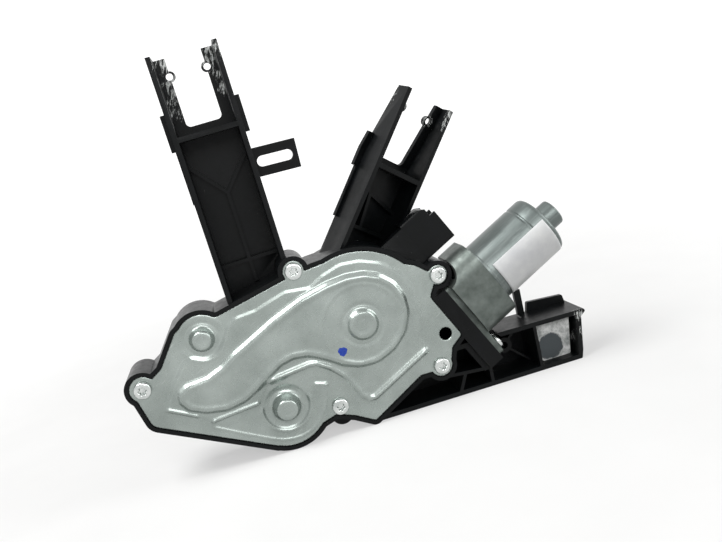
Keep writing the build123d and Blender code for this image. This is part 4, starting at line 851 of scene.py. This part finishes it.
class WiperFinish(bpy.types.PropertyGroup):
    """Colours that a user would change, as sRGB hex values"""
    moulding: bpy.props.StringProperty(
        name="Moulding", description="Colour of the black moulding", default="#060808")
    cover: bpy.props.StringProperty(
        name="Cover", description="Colour of the plated cover", default="#9AA29E")
    casting: bpy.props.StringProperty(
        name="Casting", description="Colour of the die casting", default="#6F7672")
    can: bpy.props.StringProperty(
        name="Can", description="Colour of the drawn can", default="#6C7371")
    label: bpy.props.StringProperty(
        name="Label", description="Colour of the bare label", default="#DCDDDC")


# ---- operators ----
class WIPER_OT_stage(bpy.types.Operator):
    """Floor and backdrop in one sweep, soft lamps, pale surroundings and the camera"""
    bl_idname = "wiper.stage"
    bl_label = "Studio"

    def execute(self, context):
        floor = self.sweep()
        floor.data.materials.append(finishes()["board"])
        self.lamps(context)
        self.world(context)
        self.camera(context)
        return {"FINISHED"}

    def sweep(self):
        """A floor that rises in a quarter circle to a wall, as a profile carried along X."""
        angle = np.linspace(0, np.pi / 2, 24)
        wall_y = SWEEP_REACH + SWEEP_RADIUS
        y = np.concatenate([[SWEEP_FRONT, SWEEP_MIDDLE],
                            SWEEP_REACH + SWEEP_RADIUS * np.sin(angle), [wall_y]])
        z = np.concatenate([[0.0, 0.0], SWEEP_RADIUS * (1 - np.cos(angle)), [SWEEP_HEIGHT]])
        x = np.linspace(-SWEEP_HALF_WIDTH, SWEEP_HALF_WIDTH, 12)[:, None]
        z = z + FLOOR_LEVEL - FLOOR_GAP
        return surface("studio_sweep", np.stack(np.broadcast_arrays(x, y, z), -1))

    def lamps(self, context):
        """Soft rectangular lamps, each turned to its aim."""
        for name, at, aim, size, power in LAMPS:
            lamp = bpy.data.lights.new(name, "AREA")
            lamp.shape = "RECTANGLE"
            lamp.size, lamp.size_y = size
            lamp.energy = power
            made = bpy.data.objects.new(name, lamp)
            context.scene.collection.objects.link(made)
            made.location = at
            made.rotation_euler = (Vector(aim) - Vector(at)).to_track_quat("-Z", "Y").to_euler()

    def world(self, context):
        """A low even light on the part, and plain white to the eye."""
        world = context.scene.world or bpy.data.worlds.new("studio")
        context.scene.world = world
        world.use_nodes = True
        tree = world.node_tree
        feed(tree, tree.nodes["Background"], {
            "Color": linear("#FFFFFF"),
            "Strength": add(tree, "MapRange", {"Value": seen_directly(tree),
                                               "To Min": WORLD_LEVEL, "To Max": 1.0}),
        })

    def camera(self, context):
        """The camera, turned by its right and up directions squared up to each other."""
        right, up = Vector(CAMERA_RIGHT).normalized(), Vector(CAMERA_UP).normalized()
        back = right.cross(up).normalized()
        turn = Matrix((right, back.cross(right), back)).transposed().to_4x4()
        data = bpy.data.cameras.new("camera")
        data.lens = CAMERA_LENS
        data.sensor_width = SENSOR_WIDTH
        data.sensor_fit = "HORIZONTAL"
        data.clip_start = 0.01
        data.clip_end = 20.0
        camera = bpy.data.objects.new("camera", data)
        context.scene.collection.objects.link(camera)
        camera.matrix_world = Matrix.Translation(CAMERA_PLACE) @ turn
        context.scene.camera = camera
        context.scene.view_settings.view_transform = "Standard"


class WIPER_OT_nodes(bpy.types.Operator):
    """Gives every carried-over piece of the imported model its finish"""
    bl_idname = "wiper.nodes"
    bl_label = "Packed pieces"

    def execute(self, context):
        chosen = {n: finish for finish, names in FINISHED_NODES.items() for n in names.split()}
        for name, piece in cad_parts.items():
            piece.data.materials.clear()
            piece.data.materials.append(finishes()[chosen[name]])
        return {"FINISHED"}


class WIPER_OT_cover(bpy.types.Operator):
    """The pressed cover with its levels, cups and lines"""
    bl_idname = "wiper.cover"
    bl_label = "Pressed cover"

    def execute(self, context):
        sheet = mesh_object("pressed_cover", *cover_sheet())
        add_wall(sheet, "sheet thickness", context.scene.wiper_sizes.sheet * WALL_SHARE, -1.0)
        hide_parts("cover_plate")
        place(sheet, "housing", "zinc")
        return {"FINISHED"}


class WIPER_OT_screws(bpy.types.Operator):
    """Pan-head screws of the cover and of the motor's flange"""
    bl_idname = "wiper.screws"
    bl_label = "Screws"

    def execute(self, context):
        turns = [SCREW_TURN * k for k in range(len(COVER_SCREWS))]
        screw_set("cover_screw_set", "cover_screws", [
            ((x, JOINT_Y - COVER_SEAT, z), FRONT, np.array([math.cos(turn), 0.0, math.sin(turn)]))
            for (x, z), turn in zip(COVER_SCREWS, turns)])
        screw_set("flange_screw_set", "adaptor_screws", [
            (on_motor(*np.array([FLANGE_FACE, FLANGE_ACROSS, depth])), ALONG, DEPTH)
            for depth in FLANGE_DEPTHS])
        return {"FINISHED"}


class WIPER_OT_moulding(bpy.types.Operator):
    """The black housing and its connector, with moulded edges"""
    bl_idname = "wiper.moulding"
    bl_label = "Moulding"

    def execute(self, context):
        sizes = context.scene.wiper_sizes
        shell = softened_copy("gear_housing", "moulded_housing", sizes.edge_round / MM)
        place(shell, "housing", "polyamide")
        socket = softened_copy("connector_socket", "moulded_socket", SOCKET_ROUND)
        place(socket, "housing", "polyamide")
        return {"FINISHED"}


class WIPER_OT_casting(bpy.types.Operator):
    """The adaptor casting between housing and can, with its edges rounded"""
    bl_idname = "wiper.casting"
    bl_label = "Casting"

    def execute(self, context):
        casting = softened_copy("motor_adaptor", "adaptor_casting", CASTING_ROUND, 3)
        place(casting, "housing", "cast")
        return {"FINISHED"}


class WIPER_OT_can(bpy.types.Operator):
    """The drawn can with its collar, crimp groove, rounded end and bearing cup"""
    bl_idname = "wiper.can"
    bl_label = "Can"

    def execute(self, context):
        profile = rounded_profile([
            (CAN_START, CAN_RADIUS - 1.4, 0),
            (CAN_START, CAN_RADIUS, 0.3),
            (CAN_START + 1.6, CAN_RADIUS, 0.3),
            (CAN_START + 1.9, TUBE_RADIUS, 0.2),
            (CAN_END - 10.6, TUBE_RADIUS, 0.3),
            (CAN_END - 10.1, CRIMP_RADIUS, 0.3),
            (CAN_END - 9.2, CRIMP_RADIUS, 0.3),
            (CAN_END - 8.7, TUBE_RADIUS, 0.3),
            (CAN_END, TUBE_RADIUS, 2.6),
            (CAN_END + 0.6, CUP_RADIUS + 1.0, 0.8),
            (CAN_END + 1.4, CUP_RADIUS, 0.6),
            (CUP_END, CUP_RADIUS, 1.3),
            (CUP_END, 2.2, 0.3),
            (CUP_END - 0.5, 1.9, 0.3),
            (CUP_END - 0.6, 0.0, 0),
        ])
        shell = turned("drawn_can", profile)
        add_wall(shell, "can wall", CAN_WALL * MM, -1.0)
        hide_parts("motor_can")
        place(shell, "housing", "drawn")
        return {"FINISHED"}


class WIPER_OT_label(bpy.types.Operator):
    """The bare label: a patch of the can's cylinder, in distance along and angle round"""
    bl_idname = "wiper.label"
    bl_label = "Label"

    def execute(self, context):
        along = np.linspace(CAN_START + LABEL_INSETS[0], CAN_END - LABEL_INSETS[1], 40)
        angle = np.radians(np.linspace(*LABEL_ANGLES, 44))
        s, t = np.meshgrid(along, angle, indexing="ij")
        inset = np.minimum(np.minimum(s - s.min(), s.max() - s), LABEL_EDGE)
        radius = CAN_RADIUS + LABEL_GAP + LABEL_CROWN * smooth_rise(inset)
        patch = surface("bare_label", on_motor(s, radius * np.cos(t), radius * np.sin(t)),
                        flip=True)
        add_wall(patch, "film", LABEL_FILM * MM, 1.0)
        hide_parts("can_label")
        place(patch, "housing", "label")
        return {"FINISHED"}


class WIPER_OT_shaft(bpy.types.Operator):
    """The output shaft with its fluted cone and thread"""
    bl_idname = "wiper.shaft"
    bl_label = "Output shaft"

    def execute(self, context):
        y = np.concatenate([[SHAFT_START, SHAFT_START, SHAFT_STEP - 0.1, SHAFT_STEP + 0.1],
                            [CLIP_GROOVE[0] - 0.01, *CLIP_GROOVE, CLIP_GROOVE[1] + 0.01],
                            np.linspace(CONE_START, CONE_END, 12),
                            np.linspace(CONE_END + 0.2, SHAFT_END, 70), [SHAFT_END]])
        s, t = np.meshgrid(y, circle_angles(120), indexing="ij")
        piece = surface("fluted_shaft", self.skin(s, t), closed=True)
        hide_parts("output_shaft")
        place(piece, "output", "ground")
        return {"FINISHED"}

    def skin(self, s, t):
        """A stepped cylinder and cone, less a cosine of the angle for the flutes and a cosine of
        the way along plus the angle for the thread."""
        radius = np.where(s <= SHAFT_STEP, SHAFT_FOOT_RADIUS, SHAFT_RADIUS)
        groove = (s >= CLIP_GROOVE[0]) & (s <= CLIP_GROOVE[1])
        radius = np.where(groove, CLIP_GROOVE_RADIUS, radius)
        on_cone = np.clip(s, CONE_START, CONE_END) - CONE_START
        radius = radius - on_cone / CONE_FALL
        fluted = (smooth_rise((s - CONE_START) / FLUTE_RUN_OUT)
                  * smooth_rise((CONE_END - s) / FLUTE_RUN_OUT))
        radius = radius - FLUTE_DEPTH * fluted * (0.5 + 0.5 * np.cos(FLUTES * t))
        turns = 2 * np.pi * s / SHAFT_PITCH
        thread = SHAFT_THREAD + SHAFT_THREAD * np.cos(turns + t)
        radius = radius - np.where(s > CONE_END + 0.1, thread, 0.0)
        radius = radius - SHAFT_CHAMFER * smooth_rise(s - (SHAFT_END - 1.0))
        radius[[0, -1]] = 0.0
        return np.stack([radius * np.cos(t), s, radius * np.sin(t)], -1)


class WIPER_OT_paint(bpy.types.Operator):
    """The blob of marking paint on the cover"""
    bl_idname = "wiper.paint"
    bl_label = "Paint mark"

    def execute(self, context):
        u, t = np.meshgrid(np.linspace(0, 1, 9), circle_angles(48), indexing="ij")
        blob = surface("marking_paint", self.skin(u, t), closed=True)
        place(blob, "housing", "paint")
        return {"FINISHED"}

    def skin(self, u, t):
        """Share u of a reach that waves round, on the cover, under a crown of 1 - u^3."""
        reach = PAINT_RADIUS
        for height, count, start in PAINT_WAVES:
            reach = reach + height * np.sin(count * t + start)
        x = PAINT_PLACE[0] + u * reach * np.cos(t)
        z = PAINT_PLACE[1] + u * reach * np.sin(t)
        crown = PAINT_CROWN * (1 - u ** 3) - PAINT_SINK
        return np.stack([x, JOINT_Y - cover_height(x, z) - crown, z], -1)


class WIPER_PT_panel(bpy.types.Panel):
    """Lists the sizes, the colours and the operators"""
    bl_idname = "WIPER_PT_panel"
    bl_label = "Wiper Motor"
    bl_space_type = "VIEW_3D"
    bl_region_type = "UI"
    bl_category = "Wiper Motor"

    def draw(self, context):
        layout = self.layout
        for group in (context.scene.wiper_sizes, context.scene.wiper_finish):
            for key in group.__annotations__:
                layout.prop(group, key)
        for operator in OPERATORS:
            layout.operator(operator.bl_idname)


OPERATORS = [WIPER_OT_stage, WIPER_OT_nodes, WIPER_OT_cover, WIPER_OT_screws, WIPER_OT_moulding,
             WIPER_OT_casting, WIPER_OT_can, WIPER_OT_label, WIPER_OT_shaft, WIPER_OT_paint]
CLASSES = [WiperSizes, WiperFinish, WIPER_PT_panel] + OPERATORS


def register():
    for item in CLASSES:
        bpy.utils.register_class(item)
    bpy.types.Scene.wiper_sizes = bpy.props.PointerProperty(type=WiperSizes)
    bpy.types.Scene.wiper_finish = bpy.props.PointerProperty(type=WiperFinish)


def unregister():
    del bpy.types.Scene.wiper_finish
    del bpy.types.Scene.wiper_sizes
    for item in reversed(CLASSES):
        bpy.utils.unregister_class(item)


def main():
    register()
    for operator in OPERATORS:
        group, name = operator.bl_idname.split(".")
        getattr(getattr(bpy.ops, group), name)()


if __name__ == "__main__":
    main()
